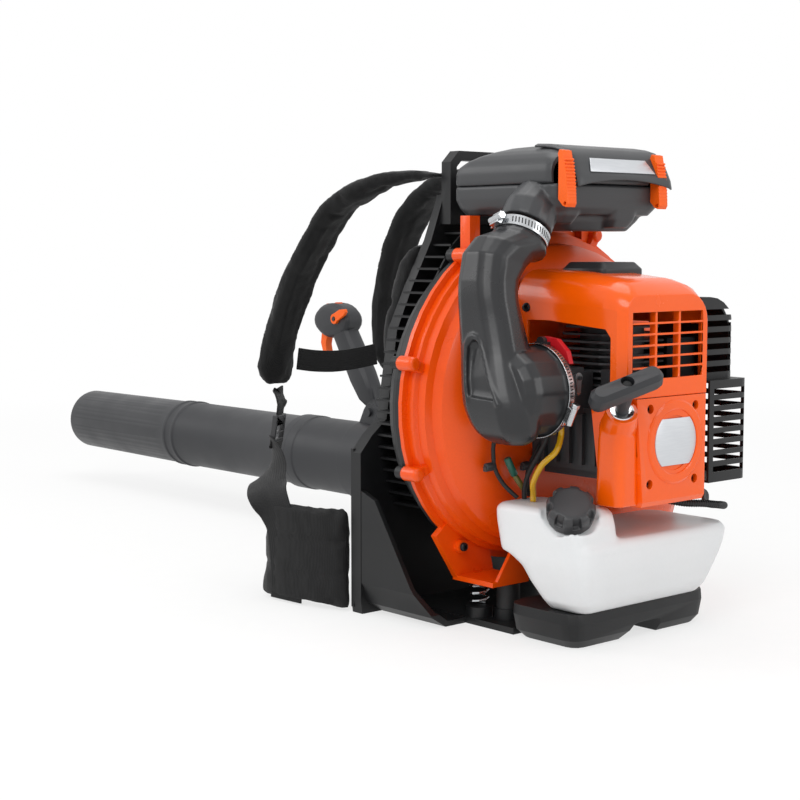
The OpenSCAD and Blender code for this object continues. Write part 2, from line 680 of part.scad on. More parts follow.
// Centre, x size, y size and corner radius of the duct, from the top down
duct_sections = [
  [[-101, -90, 392], 54, 56, 25], [[-113, -92, 381], 58, 62, 22], [[-128, -94, 366], 56, 66, 18],
  [[-137, -96, 348], 52, 68, 16], [[-142, -100, 318], 52, 68, 16], [[-145, -106, 288], 50, 68, 16],
  [[-147, -114, 262], 47, 72, 16], [[-147, -121, 238], 47, 78, 18], [[-143, -124, 218], 42, 72, 18],
  [[-141, -125, 208], 34, 58, 16], [[-140, -125, 203], 22, 40, 10]
];
module duct_body(inset) {
  n = len(duct_sections) - 1;
  loft([for (i = [n:-1:0]) let (s = duct_sections[i])
    at_z([for (p = rrect(s[1] - 2 * inset, s[2] - 2 * inset, max(s[3] - inset, 3), 3)) [p.x + s[0].x, p.y + s[0].y]],
      s[0].z + (i == n ? inset : i == 0 && inset > 0 ? 2 : 0))]);
}
cuff_r = adapter_r + 3;
module intake_duct() {
  color(plastic) difference() {
    union() {
      duct_body(0);
      at_neck() cylinder(h = 22, r = neck_r + neck_wall);
      rod_x(-132, adapter_x[0] - gap, cylinder_y, carb_z, adapter_r + 1);
      rod_x(adapter_x[0] - gap - touch, adapter_x[0] + 6, cylinder_y, carb_z, cuff_r);
    }
    duct_body(3);
    at_neck(-2) cylinder(h = 28, r = neck_r);
    rod_x(-134, adapter_x[0] - 2, cylinder_y, carb_z, adapter_r - 3);
    rod_x(adapter_x[0] - gap, adapter_x[0] + 8, cylinder_y, carb_z, adapter_r + gap);
  }
}
// Worm-drive band clamps: one on the neck, one on the cuff
module band_clamp(r, w) {
  difference() {
    union() {
      cylinder(h = w, r = r + 1.6);
      translate([r, -8, 1]) cube([7, 16, w - 2]);
      translate([r + 4, -13, w / 2]) rotate([-90, 0, 0]) cylinder(h = 24, r = 3.6);
    }
    translate([0, 0, -1]) cylinder(h = w + 2, r = r + gap / 3);
  }
}
module duct_clamps() {
  color(steel) {
    at_neck(4) rotate(215) band_clamp(neck_r + neck_wall, 11);
    translate([adapter_x[0] - 2, cylinder_y, carb_z]) rotate([0, 90, 0]) rotate(135) band_clamp(cuff_r, 7);
  }
}

// ---------------------------------------------------------------- throttle on the carburettor
throttle_pivot = [-76, cylinder_y - 22, carb_z + 12];
module throttle_arm() {
  y0 = throttle_pivot.y - 3.5;
  color(steel) difference() {
    union() {
      rod_y(y0, y0 + 3, throttle_pivot.x, throttle_pivot.z, 5);
      plate_y(y0, y0 + 3) polygon([for (p = [[-4, 0], [4, 0], [3, -15], [-1, -17], [-3, -14]])
        [throttle_pivot.x + p[0], throttle_pivot.z + p[1]]]);
    }
    rod_y(y0 - 1, y0 + 4, throttle_pivot.x, throttle_pivot.z, 2 + run_gap);
  }
}

// ---------------------------------------------------------------- air filter
filter_x = [-78, 85];
filter_y = [-120, 30];
tray_z = seam_z - 30;
latch_x = [-69, 68];
latch_w = 13;
latch_pin_z = tray_z + 10;
latch_pin_y = filter_y[0] - 9;
module filter_tray() {
  color(plastic) difference() {
    union() {
      loft([
        at_z(box_ring(filter_x[0] + 8, filter_x[1] - 8, filter_y[0] + 8, filter_y[1] - 8, 14), tray_z),
        at_z(box_ring(filter_x[0] + 2, filter_x[1] - 2, filter_y[0] + 2, filter_y[1] - 2, 18), tray_z + 7),
        at_z(box_ring(filter_x[0], filter_x[1], filter_y[0], filter_y[1], 14), tray_z + 16),
        at_z(box_ring(filter_x[0], filter_x[1], filter_y[0], filter_y[1], 14), seam_z - gap)
      ]);
      // sump with the outlet to the duct
      loft([
        at_z(box_ring(-40, 58, -104, -66, 12), tray_z - 17),
        at_z(box_ring(-62, 70, -112, -62, 14), tray_z - 6),
        at_z(box_ring(-68, 76, -113, -60, 12), tray_z + 2)
      ]);
      at_neck(-26) cylinder(h = 26 - gap, r = neck_r + neck_wall);
      at_neck(-26) cylinder(h = 34, r = neck_r - gap);
      // hinge ears of the latches
      for (x = latch_x, side = [-1, 1])
        plate_yz(x + side * (latch_w / 2 + 2.3) - 1.7, x + side * (latch_w / 2 + 2.3) + 1.7)
          polygon([[filter_y[0] + 6, tray_z + 2], [latch_pin_y - 4, tray_z + 6], [latch_pin_y - 4, tray_z + 14],
            [filter_y[0] + 6, tray_z + 18]]);
      for (x = latch_x)
        rod_x(x - latch_w / 2 - 3, x + latch_w / 2 + 3, latch_pin_y, latch_pin_z, 1.8);
    }
    loft([
      at_z(box_ring(filter_x[0] + 10, filter_x[1] - 10, filter_y[0] + 10, filter_y[1] - 10, 12), tray_z + filter_wall),
      at_z(box_ring(filter_x[0] + 3, filter_x[1] - 3, filter_y[0] + 3, filter_y[1] - 3, 12), tray_z + 14),
      at_z(box_ring(filter_x[0] + 3, filter_x[1] - 3, filter_y[0] + 3, filter_y[1] - 3, 12), seam_z + 1)
    ]);
    loft([
      at_z(box_ring(-37, 55, -101, -69, 10), tray_z - 14),
      at_z(box_ring(-59, 67, -109, -65, 12), tray_z - 4),
      at_z(box_ring(-59, 67, -109, -65, 10), tray_z + 6)
    ]);
    at_neck(-30) cylinder(h = 40, r = neck_r - neck_wall);
  }
}

pleats = 14;
module filter_element() {
  w = (filter_x[1] - filter_x[0] - 26) / pleats;
  color([0.9, 0.87, 0.75]) {
    translate([filter_x[0] + 13, filter_y[1] - 14, 0]) rotate([90, 0, 0]) linear_extrude(filter_y[1] - filter_y[0] - 28)
      polygon(concat(
        [for (i = [0:pleats]) [i * w, tray_z + (i % 2 == 0 ? 12 : 17)]],
        [for (i = [pleats:-1:0]) [i * w, tray_z + (i % 2 == 0 ? 25 : 29)]]
      ));
    translate([0, 0, tray_z + 15]) linear_extrude(6) difference() {
      polygon(box_ring(filter_x[0] + 3.3, filter_x[1] - 3.3, filter_y[0] + 3.3, filter_y[1] - 3.3, 12));
      polygon(box_ring(filter_x[0] + 13, filter_x[1] - 13, filter_y[0] + 13, filter_y[1] - 13, 6));
    }
  }
}

function lid_ring(d, z, r) = at_z(box_ring(filter_x[0] + d, filter_x[1] - d, filter_y[0] + d, filter_y[1] - d, r), z);
function lid_rings(w) = [
  lid_ring(w, seam_z + (w > 0 ? -1 : 0), 14 - w), lid_ring(w, seam_z + 14, 14 - w),
  lid_ring(4 + w, seam_z + 22, 14 - w), lid_ring(18 + w * 0.6, seam_z + lid_h - 9 - w * 0.4, 15),
  lid_ring(30, seam_z + lid_h - 3 - w, 14), lid_ring(48, seam_z + lid_h - w, 10)
];
module filter_cover() {
  color(plastic) difference() {
    loft(lid_rings(0));
    loft(lid_rings(filter_wall));
    for (x = latch_x)
      block(x - latch_w / 2 - 1.2, x + latch_w / 2 + 1.2, filter_y[0] - 2, filter_y[0] + 1.6, seam_z - 2, seam_z + 28);
  }
}

latch_h = 52;
module latch(x) {
  ribs = 12;
  y1 = filter_y[0] - gap;
  color(orange) difference() {
    union() {
      plate_yz(x - latch_w / 2, x + latch_w / 2) polygon([
        [latch_pin_y - 3.6, latch_pin_z], [latch_pin_y - 1.5, latch_pin_z - 3.6], [latch_pin_y + 3, latch_pin_z - 2],
        [y1, latch_pin_z + 4], [y1, latch_pin_z + latch_h - 8], [y1 + 1, latch_pin_z + latch_h - 4],
        [y1 - 1, latch_pin_z + latch_h], [y1 - 5, latch_pin_z + latch_h - 1], [y1 - 9.5, latch_pin_z + 30],
        [y1 - 11.5, latch_pin_z + 12]
      ]);
      for (i = [0:ribs - 1])
        let (z = latch_pin_z + 6 + 3.3 * i)
          rod_x(x - latch_w / 2, x + latch_w / 2, y1 - 11 + pow((z - latch_pin_z) / latch_h, 2) * 5.4, z, 1.2);
    }
    rod_x(x - latch_w, x + latch_w, latch_pin_y, latch_pin_z, 1.8 + run_gap);
  }
}
module latch_left() { latch(latch_x[0]); }
module latch_right() { latch(latch_x[1]); }

// ---------------------------------------------------------------- fuel
function tank_rings(w) = [
  at_z(box_ring(-96 + w, 82 - w, -178 + w, -124 - w, 14), shoe_h + w),
  at_z(box_ring(-106 + w, 90 - w, -185 + w, -116 - w, 16), shoe_h + 10),
  at_z(box_ring(-113 + w, 100 - w, -189 + w, -98 - w, 18), shoe_h + 28),
  at_z(box_ring(-118 + w, 113 - w, -191 + w, -78 - w, 20), shoe_h + 50),
  at_z(box_ring(-119 + w, 119 - w, -190 + w, -76 - w, 20), shoe_h + 64 - w * 0.5),
  at_z(box_ring(-114 + w, 115 - w, -185 + w, -80 - w, 18), shoe_h + 70 - w)
];
tower_h = 101;
function tower_rings(w) = [
  at_z(box_ring(-119 + w, -48 - w, -188 + w, -76 - w, 16), shoe_h + 50),
  at_z(box_ring(-120 + w, -49 - w, -184 + w, -74 - w, 16), shoe_h + tower_h - 17),
  at_z(box_ring(-119 + w, -50 - w, -180 + w, -73 - w, 14), shoe_h + tower_h - 5 - w * 0.5),
  at_z(box_ring(-114 + w, -55 - w, -174 + w, -78 - w, 12), shoe_h + tower_h - w)
];
cap_base = [-97, -160, 131];
cap_dir = unit([-0.44, -0.5, 0.745]);
cap_u = unit(cross([0, 0, 1], cap_dir));
module at_cap(shift = 0) { to_frame(cap_base + shift * cap_dir, cap_u, cross(cap_dir, cap_u)) children(); }
neck_out = 10;
cap_wall = 4;
seat_drop = 3;
module fuel_tank() {
  color([0.88, 0.9, 0.92]) difference() {
    union() {
      difference() {
        union() {
          loft(tank_rings(0));
          loft(tower_rings(0));
        }
        // flat seat round the filler neck
        at_cap(-seat_drop) cylinder(h = 60, r = cap_r + 5);
      }
      at_cap(-seat_drop - tank_wall) cylinder(h = seat_drop + tank_wall + neck_out, r = cap_r - cap_wall - 2);
    }
    difference() {
      union() {
        loft(tank_rings(tank_wall));
        loft(tower_rings(tank_wall));
      }
      at_cap(-seat_drop - tank_wall) cylinder(h = 60, r = cap_r + 5 + tank_wall);
    }
    at_cap(-22) cylinder(h = 50, r = cap_r - cap_wall - 4.5);
  }
}
module cap_plug() {
  color(black) {
    at_cap(-4) cylinder(h = neck_out + 4.4, r = cap_r - cap_wall - 4.5 - gap);
    at_cap(neck_out + gap) cylinder(h = 3, r = cap_r - cap_wall - 1);
  }
}
module cap_shell() {
  color(black) difference() {
    union() {
      at_cap(-seat_drop + gap) cylinder(h = neck_out + seat_drop + 7, r = cap_r - 1);
      at_cap(-seat_drop + 2) for (i = [0:11]) rotate(30 * i) translate([cap_r - 1.5, 0, 0])
        cylinder(h = neck_out + seat_drop + 3, r = 3);
      at_cap(neck_out + 7) cylinder(h = 3.5, r = cap_r - 5);
    }
    at_cap(-seat_drop - 1) cylinder(h = neck_out + seat_drop + 1 + 3 + 2 * gap, r = cap_r - cap_wall - gap);
  }
}

module hose(points, r, sides, steps, u) { sweep(curve(points, steps), circle_ring(r, sides), u); }
port_z = carb_z - 36 - gap;
line_end = shoe_h + tower_h + gap;
fuel_points = [
  [fuel_ports[0].x, fuel_ports[0].y, port_z], [fuel_ports[0].x, fuel_ports[0].y, 204], [-90, -134, 190],
  [-97, -122, 176], [-96, -110, 158], [-90, -104, 146], [-90, -104, line_end]
];
return_points = [
  [fuel_ports[1].x, fuel_ports[1].y, port_z], [fuel_ports[1].x, fuel_ports[1].y, 202], [-82, -104, 184],
  [-84, -92, 164], [-84, -86, 148], [-84, -86, line_end]
];
module fuel_lines() {
  color([0.85, 0.7, 0.05]) hose(fuel_points, 3, 10, 4, [1, 0, 0]);
  color(black) hose(return_points, 2.5, 8, 4, [1, 0, 0]);
}

// ---------------------------------------------------------------- stand
shoe_x = [-108, 98];
shoe_y = [-176, -84];
tongue_y = -112;
tongue_z = [10, 16];
module base_shoe() {
  color(black) difference() {
    loft([
      at_z(box_ring(shoe_x[0] + 16, shoe_x[1] - 6, shoe_y[0] + 12, shoe_y[1] - 6, 12), 0),
      at_z(box_ring(shoe_x[0] + 6, shoe_x[1] - 1, shoe_y[0] + 4, shoe_y[1], 16), 9),
      at_z(box_ring(shoe_x[0], shoe_x[1], shoe_y[0], shoe_y[1], 18), 26),
      at_z(box_ring(shoe_x[0] + 1, shoe_x[1], shoe_y[0] + 1, shoe_y[1], 18), shoe_h)
    ]);
    // arch between the feet
    plate_y(shoe_y[0] - 5, -114)
      polygon([[-30, -1], [-16, 14], [-10, 15.5], [22, 15.5], [24, 13], [28, -1]]);
    block(tongue_x[0] - gap, tongue_x[1] + gap, tongue_y - gap, shoe_y[1] + 5, tongue_z[0] - gap, tongue_z[1] + gap);
  }
}
tongue_x = [-80, 72];
plate_x = [-96, 88];
plate_t = 7;
post_seat_z = 18;

frame_y = 88;                       // back plate of the frame, engine side
frame_t = 5;
// Height, left half width, right half width, plate position and channel depth of the frame
frame_sections = [
  [0, 150, 118, 88, 16], [14, 152, 118, 88, 16], [172, 152, 118, 88, 16], [190, 136, 116, 88, 16],
  [206, 116, 110, 88, 16], [300, 102, 102, 87, 15], [345, 88, 88, 79, 13], [395, 72, 72, 66, 12], [442, 62, 62, 58, 10]
];
function channel_ring(s) = [
  [-s[1], s[3]], [s[2], s[3]], [s[2], s[3] + s[4]], [s[2] - frame_t, s[3] + s[4]], [s[2] - frame_t, s[3] + frame_t],
  [frame_t - s[1], s[3] + frame_t], [frame_t - s[1], s[3] + s[4]], [-s[1], s[3] + s[4]]
];
rail_y = frame_y + 16;
function plate_at(z) = lookup(z, [for (s = frame_sections) [s[0], s[3]]]);
function rail_front(z) = lookup(z, [for (s = frame_sections) [s[0], s[3] + s[4]]]);
hoop_y = [46, 60];
hoop_x = 63;
hoop_top = 489;
skirt_outer = [[-151.5, 132], [-151.5, 34], [-143, 12], [-124, 0.5], [-84, 0.5]];
skirt_inner = [[-84, 6], [-121, 6], [-137, 17], [-146, 37], [-146, 132]];
rail_hole_x = [-140, 106];
rail_hole_z = [40, 96];
module back_frame() {
  color(black) difference() {
    union() {
      loft([for (s = frame_sections) at_z(channel_ring(s), s[0])]);
      // flange of the left rail
      block(-152, -128, rail_y - 4, rail_y, 6, 176);
      // ribs that carry the back pad
      for (z = [90, 150, 210, 270]) block(-98, 98, frame_y + frame_t - 3, rail_front(z + 3), z, z + 3);
      // base plate under the fan housing, with a tongue into the base shoe
      block(plate_x[0], plate_x[1], shoe_y[1] + gap, frame_y + 1, 0.5, plate_t);
      block(-40, 40, -40, 30, 0, plate_t - 2); // pad it stands on
      block(tongue_x[0], tongue_x[1], tongue_y, shoe_y[1] + 8, tongue_z[0], tongue_z[1]);
      block(tongue_x[0], tongue_x[1], shoe_y[1] + gap, shoe_y[1] + 8, plate_t - 1, tongue_z[1]);
      for (p = concat(post_at, spring_at)) rod_z(plate_t - 1, post_seat_z, p.x, p.y, 14);
      // skirt that wraps the lower left corner
      intersection() {
        plate_y(-14, frame_y + 2) polygon(concat(skirt_outer, skirt_inner));
        plate_yz(-160, -80) polygon([[92, 134], [66, 124], [40, 84], [10, 40], [-14, 14], [-14, -1], [92, -1]]);
      }
      // carrying handle and its gussets
      block(-62.5, 62.5, hoop_y[1] - 1, 68.4, 439, 443);
      difference() {
        plate_y(hoop_y[0], hoop_y[1]) polygon([[-hoop_x, 412], [-hoop_x, hoop_top - 12], [-hoop_x + 12, hoop_top],
          [hoop_x - 12, hoop_top], [hoop_x, hoop_top - 12], [hoop_x, 412]]);
        plate_y(hoop_y[0] - 1, hoop_y[1] + 1) polygon([[-hoop_x + 9, 446], [-hoop_x + 9, hoop_top - 17],
          [-hoop_x + 16, hoop_top - 10], [hoop_x - 16, hoop_top - 10], [hoop_x - 9, hoop_top - 17], [hoop_x - 9, 446]]);
      }
      for (side = [-1, 1])
        plate_yz(side * (hoop_x - 2.5) - 2.5, side * (hoop_x - 2.5) + 2.5)
          polygon([[hoop_y[0], 446], [hoop_y[0], 428], [66, 408], [70, 412], [64, 440], [hoop_y[1], 446]]);
    }
    // lightening openings
    for (z = [104, 164, 224]) block(-60, 60, frame_y - 1, frame_y + frame_t + 1, z, z + 40);
    // bolt holes in the left and right rail
    for (x = rail_hole_x, z = rail_hole_z) rod_y(frame_y - 1, rail_y + 1, x, z, 3);
    // the outlet neck passes the right rail
    rod_y(frame_y - 1, rail_y + 1, tube_x, tube_z, outlet_r + 9);
  }
}

// Outline of the slatted intake guard: height and half width
cage_outline = [[112, 106], [129, 114], [174, 128], [227, 131], [290, 118], [348, 97], [388, 70], [404, 52]];
slat_pitch = 12.5;
slat_depth = 20;
cage_ring_t = 2.5;
module cage_side(side) {
  y0 = inner_depth + gap;
  for (z = [114:slat_pitch:402]) {
    w = lookup(z, cage_outline);
    translate([side > 0 ? w - slat_depth : -w, y0 + 1, z]) cube([slat_depth, plate_at(z + 3) - gap - y0 - 1, 2.2]);
  }
  // spine that joins the slats, flat on the housing
  plate_y(y0, y0 + cage_ring_t) polygon(concat(
    [for (p = cage_outline) [side * (p[1] - slat_depth - 3), p[0]]],
    [for (p = reversed(cage_outline)) [side * (p[1] - 1), p[0]]]
  ));
}
module intake_cage() {
  y0 = inner_depth + gap;
  color(black) difference() {
    union() {
      for (side = [-1, 1]) cage_side(side);
      plate_y(y0, y0 + cage_ring_t) polygon([[-56, 396], [56, 396], [53, 404], [-53, 404]]);
      plate_y(y0, y0 + cage_ring_t)
        polygon([[-107, 112], [-86, 112], [-60, 92], [60, 92], [86, 112], [107, 112], [70, 78], [-70, 78]]);
    }
    // the rolled intake lip of the housing stands inside the spine
    rod_y(y0 - 1, y0 + 5, 0, axis_z, intake_r + 5 + gap);
  }
}

// mounts between frame and fan unit
post_at = [[-66, -46], [66, -46]];
spring_at = [[-82, -20], [82, -20]];
post_top = foot_top - foot_t;
module vibration_mounts() {
  color(black) for (p = post_at) rod_z(post_seat_z, post_top, p.x, p.y, 12);
}
spring_wire = 1.4;
spring_turns = 3;
module spring(x, y, z0, z1, r, turns) {
  rings = 8 * turns;
  rise = (z1 - z0 - 2 * spring_wire) / rings;
  points = [for (i = [0:rings]) [x + r * cos(45 * i), y + r * sin(45 * i), z0 + spring_wire + rise * i]];
  echo("least gap between spring turns", 8 * rise - 2 * spring_wire);
  sweep(points, circle_ring(spring_wire, 6), [0, 0, 1]);
}
module mount_springs() {
  color(steel) for (p = spring_at) spring(p.x, p.y, post_seat_z, post_top, 9, spring_turns);
}

// ---------------------------------------------------------------- blower tube
neck_end = inner_depth + outlet_neck;
pipe_end = 130;
yaw_y = 172;
pitch_y = 260;
ring_y = [212, 220];
cuff_y = 302;
control_end = 590;
mid_end = 900;
bellow_r = 50;
bellow_depth = 5;
bellow_wall = 2.5;
bellow_folds = 8;
conduit_r = 4;
clip_at = [238, 112];               // conduit clip on the middle ring, x and z
module turned(points) { translate([tube_x, 0, tube_z]) rotate([-90, 0, 0]) rotate_extrude() polygon(points); }
module tube_ring(y0, y1, r0, r1) { turned([[r0, y0], [r1, y0], [r1, y1], [r0, y1]]); }
module outlet_pipe() {
  sleeve = outlet_r + 3 + gap;
  color(plastic) turned([
    [sleeve, neck_end - 12], [outlet_r + 6, neck_end - 12], [outlet_r + 6, pipe_end - 10], [outlet_r + 9, pipe_end - 8],
    [outlet_r + 9, pipe_end], [outlet_r, pipe_end], [outlet_r, neck_end + gap], [sleeve, neck_end + gap]
  ]);
}
module bellows(y0, y1) {
  p = (y1 - y0) / bellow_folds;
  low = bellow_r - bellow_depth;
  color(black) turned(concat(
    [for (i = [0:bellow_folds - 1]) each [[low, y0 + i * p], [bellow_r, y0 + (i + 0.3) * p], [bellow_r, y0 + (i + 0.7) * p]]],
    [[low, y1], [low - bellow_wall, y1], [low - bellow_wall, y0]]
  ));
}
module bellows_rear() { bellows(pipe_end + gap, ring_y[0] - gap); }
module bellows_front() { bellows(ring_y[1] + gap, cuff_y - gap); }
module bellows_ring() {
  color(plastic) difference() {
    union() {
      tube_ring(ring_y[0], ring_y[1], bellow_r - bellow_depth - bellow_wall, bellow_r + 3);
      rod_y(ring_y[0] - 2, ring_y[1] + 2, clip_at.x, clip_at.y, conduit_r + 3);
      block(tube_x + bellow_r, clip_at.x, ring_y[0], ring_y[1], clip_at.y - 5, clip_at.y + 5);
    }
    rod_y(ring_y[0] - 3, ring_y[1] + 3, clip_at.x, clip_at.y, 2);
  }
}

control_r = tube_r + 2;
clamp_y = [430, 470];
handle_pivot = [tube_x, 448, tube_z + control_r + 17];
handle_lean = 33;
pivot_bolt_r = 3;
cheek_x = [10, 15];
conduit_end = [201, clamp_y[0] - 4, tube_z + control_r + 1.5];
module control_tube() {
  color(plastic) {
    turned([
      [control_r - tube_wall, cuff_y], [control_r + 3, cuff_y], [control_r + 3, cuff_y + 14], [control_r, cuff_y + 16],
      [control_r, 378], [control_r + 1.5, 380], [control_r + 1.5, 384], [control_r, 386],
      [control_r, 398], [control_r + 1.5, 400], [control_r + 1.5, 404], [control_r, 406],
      [control_r, clamp_y[0]], [control_r + 4, clamp_y[0]], [control_r + 4, clamp_y[1]], [control_r, clamp_y[1]],
      [control_r, control_end - 18], [control_r + 1.5, control_end - 16], [control_r + 1.5, control_end],
      [control_r - tube_wall, control_end]
    ]);
    for (side = [-1, 1])
      plate_yz(tube_x + side * (cheek_x[0] + cheek_x[1]) / 2 - 2.5, tube_x + side * (cheek_x[0] + cheek_x[1]) / 2 + 2.5)
        polygon([[clamp_y[0], tube_z + control_r], [handle_pivot.y - 11, handle_pivot.z + 5],
          [handle_pivot.y - 6, handle_pivot.z + 10], [handle_pivot.y + 6, handle_pivot.z + 10],
          [handle_pivot.y + 11, handle_pivot.z + 4], [clamp_y[1], tube_z + control_r]]);
    rod_x(tube_x - 18, tube_x + 18, handle_pivot.y, handle_pivot.z, pivot_bolt_r);
    for (x = [tube_x - 19, tube_x + 15 - touch]) rod_x(x, x + 4, handle_pivot.y, handle_pivot.z, 5.5);
    rod_y(conduit_end.y + 5 * gap, conduit_end.y + 20, conduit_end.x, conduit_end.z, conduit_r + 3);
  }
}
module blower_tubes() {
  color(plastic) turned([
    [control_r - tube_wall, control_end + gap], [control_r + 1.5, control_end + gap], [control_r + 1.5, control_end + 14],
    [tube_r, control_end + 18], [tube_r, mid_end - 24], [tube_r + 2, mid_end - 22], [tube_r + 2, mid_end - 18],
    [tube_r, mid_end - 16], [tube_r, mid_end - 2], [tube_r + 1.5, mid_end], [tube_r + 1.5, mid_end + 6],
    [tube_r - 0.5, mid_end + 8], [mouth_r, tube_end - 4], [mouth_r - 1, tube_end],
    [mouth_r - tube_wall, tube_end], [mouth_r - tube_wall, tube_end - 120], [tube_r - tube_wall, tube_end - 150],
    [tube_r - tube_wall, control_end + 20]
  ]);
}

// Handle frame: origin at the pivot, u across, v towards the front, w up along the grip
module at_handle() {
  to_frame(handle_pivot, [1, 0, 0], [0, cos(handle_lean), -sin(handle_lean)]) children();
}
head_at = [0, 532, 287];            // middle of the oval head, y and z of the world
head_half = [38, 24];
head_w = 17;
trigger_at = [head_at.y + 15, head_at.z - 12];
cruise_at = [head_at.y - 17, head_at.z + 3];
switch_at = [head_at.y + 8, head_at.z + 19];
pin_r = 2;
trigger_w = 5.5;
switch_w = 6;
function head_ring(x, inset) = [
  for (a = [0:15:345]) [tube_x + x, head_at.y + (head_half.x - inset) * cos(a), head_at.z + (head_half.y - inset) * sin(a)]
];
module in_head(w, at) { translate([0, at.x, at.y]) plate_yz(tube_x - w, tube_x + w) children(); }
module control_handle() {
  color(plastic) difference() {
    union() {
      loft([for (s = [[-head_w, 9], [-head_w + 2, 4], [-10, 0], [10, 0], [head_w - 2, 4], [head_w, 9]]) head_ring(s[0], s[1])]);
      at_handle() {
        loft([
          at_z(rrect(19, 20, 6), 3), at_z(rrect(19, 24, 8), 15), at_z(rrect(28, 33, 10), 28), at_z(rrect(32, 38, 13), 55),
          at_z(rrect(31, 37, 13), 90), at_z(rrect(30, 35, 12), 118), at_z(rrect(28, 36, 12), 142)
        ]);
        rotate([0, 90, 0]) cylinder(h = 2 * (cheek_x[0] - gap), r = 10, center = true);
      }
      // pivot of the cruise lever
      rod_x(tube_x - head_w - 6, tube_x - head_w + 2, cruise_at.x, cruise_at.y, pin_r + 1);
    }
    rod_x(tube_x - 20, tube_x + 20, handle_pivot.y, handle_pivot.z, pivot_bolt_r + run_gap);
    // pocket of the trigger, open below
    in_head(trigger_w + gap, trigger_at) polygon([[-7, 7], [6, 8], [16, 4], [34, -10], [30, -40], [-4, -40], [-10, -14], [-8, -6]]);
    // pocket of the stop switch, open above
    in_head(switch_w + gap, switch_at) polygon([[-13, -7], [13, -7], [18, 12], [-18, 12]]);
  }
  color(steel) {
    rod_x(tube_x - 10, tube_x + 10, trigger_at.x, trigger_at.y, pin_r);
    rod_x(tube_x - 10, tube_x + 10, switch_at.x, switch_at.y, pin_r);
  }
}
module throttle_trigger() {
  color(orange) difference() {
    in_head(trigger_w, trigger_at)
      polygon([[-4, -4], [-4.5, 2], [0, 5], [7, 3], [15, -7], [17, -20], [11, -36], [5, -41], [2, -39], [6, -22], [3, -10]]);
    rod_x(tube_x - 8, tube_x + 8, trigger_at.x, trigger_at.y, pin_r + run_gap);
  }
}
module cruise_lever() {
  x = tube_x - head_w;
  color(orange) difference() {
    union() {
      rod_x(x - 5, x - gap, cruise_at.x, cruise_at.y, 7);
      translate([0, cruise_at.x, cruise_at.y]) plate_yz(x - 5, x - gap) polygon([[2, 6.5], [-12, 13], [-23, 14], [-25, 10], [-22, 6], [-6, -3]]);
    }
    rod_x(x - 7, x + 1, cruise_at.x, cruise_at.y, pin_r + 1 + run_gap);
  }
}
module stop_switch() {
  color(orange) difference() {
    in_head(switch_w, switch_at) polygon([[-10, 6], [-11, 0], [-3, -4], [3, -4], [11, 0], [10, 4], [0, 3]]);
    rod_x(tube_x - 8, tube_x + 8, switch_at.x, switch_at.y, pin_r + run_gap);
  }
}

// ---------------------------------------------------------------- control conduit
conduit_rear_points = [
  [30, -140, axis_z - 50 - gap], [31, -141, 152], [42, -150, 135], [62, -167, 128], [86, -179, 126], [110, -182, 122], [132, -164, 118], [150, -130, 114], [224, -66, 112],
  [242, 0, 112], [241, 80, 111], [clip_at.x, 160, clip_at.y], [clip_at.x, ring_y[0] - 2 - gap, clip_at.y]
];
conduit_front_points = [
  [clip_at.x, ring_y[1] + 2 + 2 * gap, clip_at.y], [clip_at.x + 1, 250, 115], [238, 310, 121], [233, 360, 128], [221, 390, 140],
  conduit_end - [0, 11, 0], conduit_end
];
module conduit_rear() { color(black) hose(conduit_rear_points, conduit_r, 8, 4, [0, 0, 1]); }
module conduit_front() { color(black) hose(conduit_front_points, conduit_r, 8, 4, [0, 0, 1]); }

// ---------------------------------------------------------------- harness
// Height, half width and thickness of the back pad
back_rows = [
  [84, 66, 8], [88, 82, 16], [96, 93, 22], [108, 98, 25], [134, 100, 26], [144, 100, 24], [149, 100, 17], [154, 100, 24],
  [164, 100, 26], [194, 100, 26], [204, 100, 24], [209, 100, 17], [214, 100, 24], [224, 100, 26], [254, 100, 26],
  [264, 100, 24], [269, 100, 17], [274, 100, 24], [284, 100, 26], [300, 100, 26], [316, 99, 26], [324, 98, 24], [329, 97, 17],
  [334, 96, 24], [345, 94, 26], [374, 88, 25], [388, 80, 21], [394, 66, 9]
];
function back_ring(s) =
  let (y = rail_front(s[0]) + gap, w = s[1], t = s[2])
    [for (p = [[-w, 0], [w, 0], [w + 1, t * 0.4], [w - 6, t * 0.8], [w * 0.6, t * 0.95], [w * 0.2, t], [-w * 0.2, t],
      [-w * 0.6, t * 0.95], [6 - w, t * 0.8], [-w - 1, t * 0.4]]) [p.x, y + p.y, s[0]]];
module back_pad() { color(fabric) loft([for (s = back_rows) back_ring(s)]); }

// Quilted section: two stitched grooves on both faces
quilt = [[0.46, 0.36], [0.34, 0.5], [0.2, 0.46], [0.165, 0.33], [0.13, 0.46], [0, 0.5]];
function quilt_side(v) = concat(
  [for (p = quilt) [p.x, v * p.y]],
  [for (i = [4:-1:0]) [-quilt[i].x, v * quilt[i].y]]
);
function quilt_section(w, h) =
  [for (p = concat([[0.5, 0]], quilt_side(1), [[-0.5, 0]], reversed(quilt_side(-1)))) [p.x * w, p.y * h]];
left_pad = [
  [-64, 60.4, 459], [-65, 70, 460], [-70, 95, 462], [-80, 130, 460], [-88, 163, 448], [-90, 197, 432], [-90, 231, 401],
  [-90, 265, 362], [-90, 290, 318], [-90, 308, 275], [-90, 314, 245], [-90, 312, 226]
];
right_pad = [
  [64, 60.4, 459], [65, 70, 460], [74, 110, 466], [84, 160, 470], [90, 205, 466], [90, 240, 452], [90, 275, 425],
  [90, 300, 388], [90, 315, 345], [90, 320, 300], [90, 315, 258], [90, 308, 236]
];
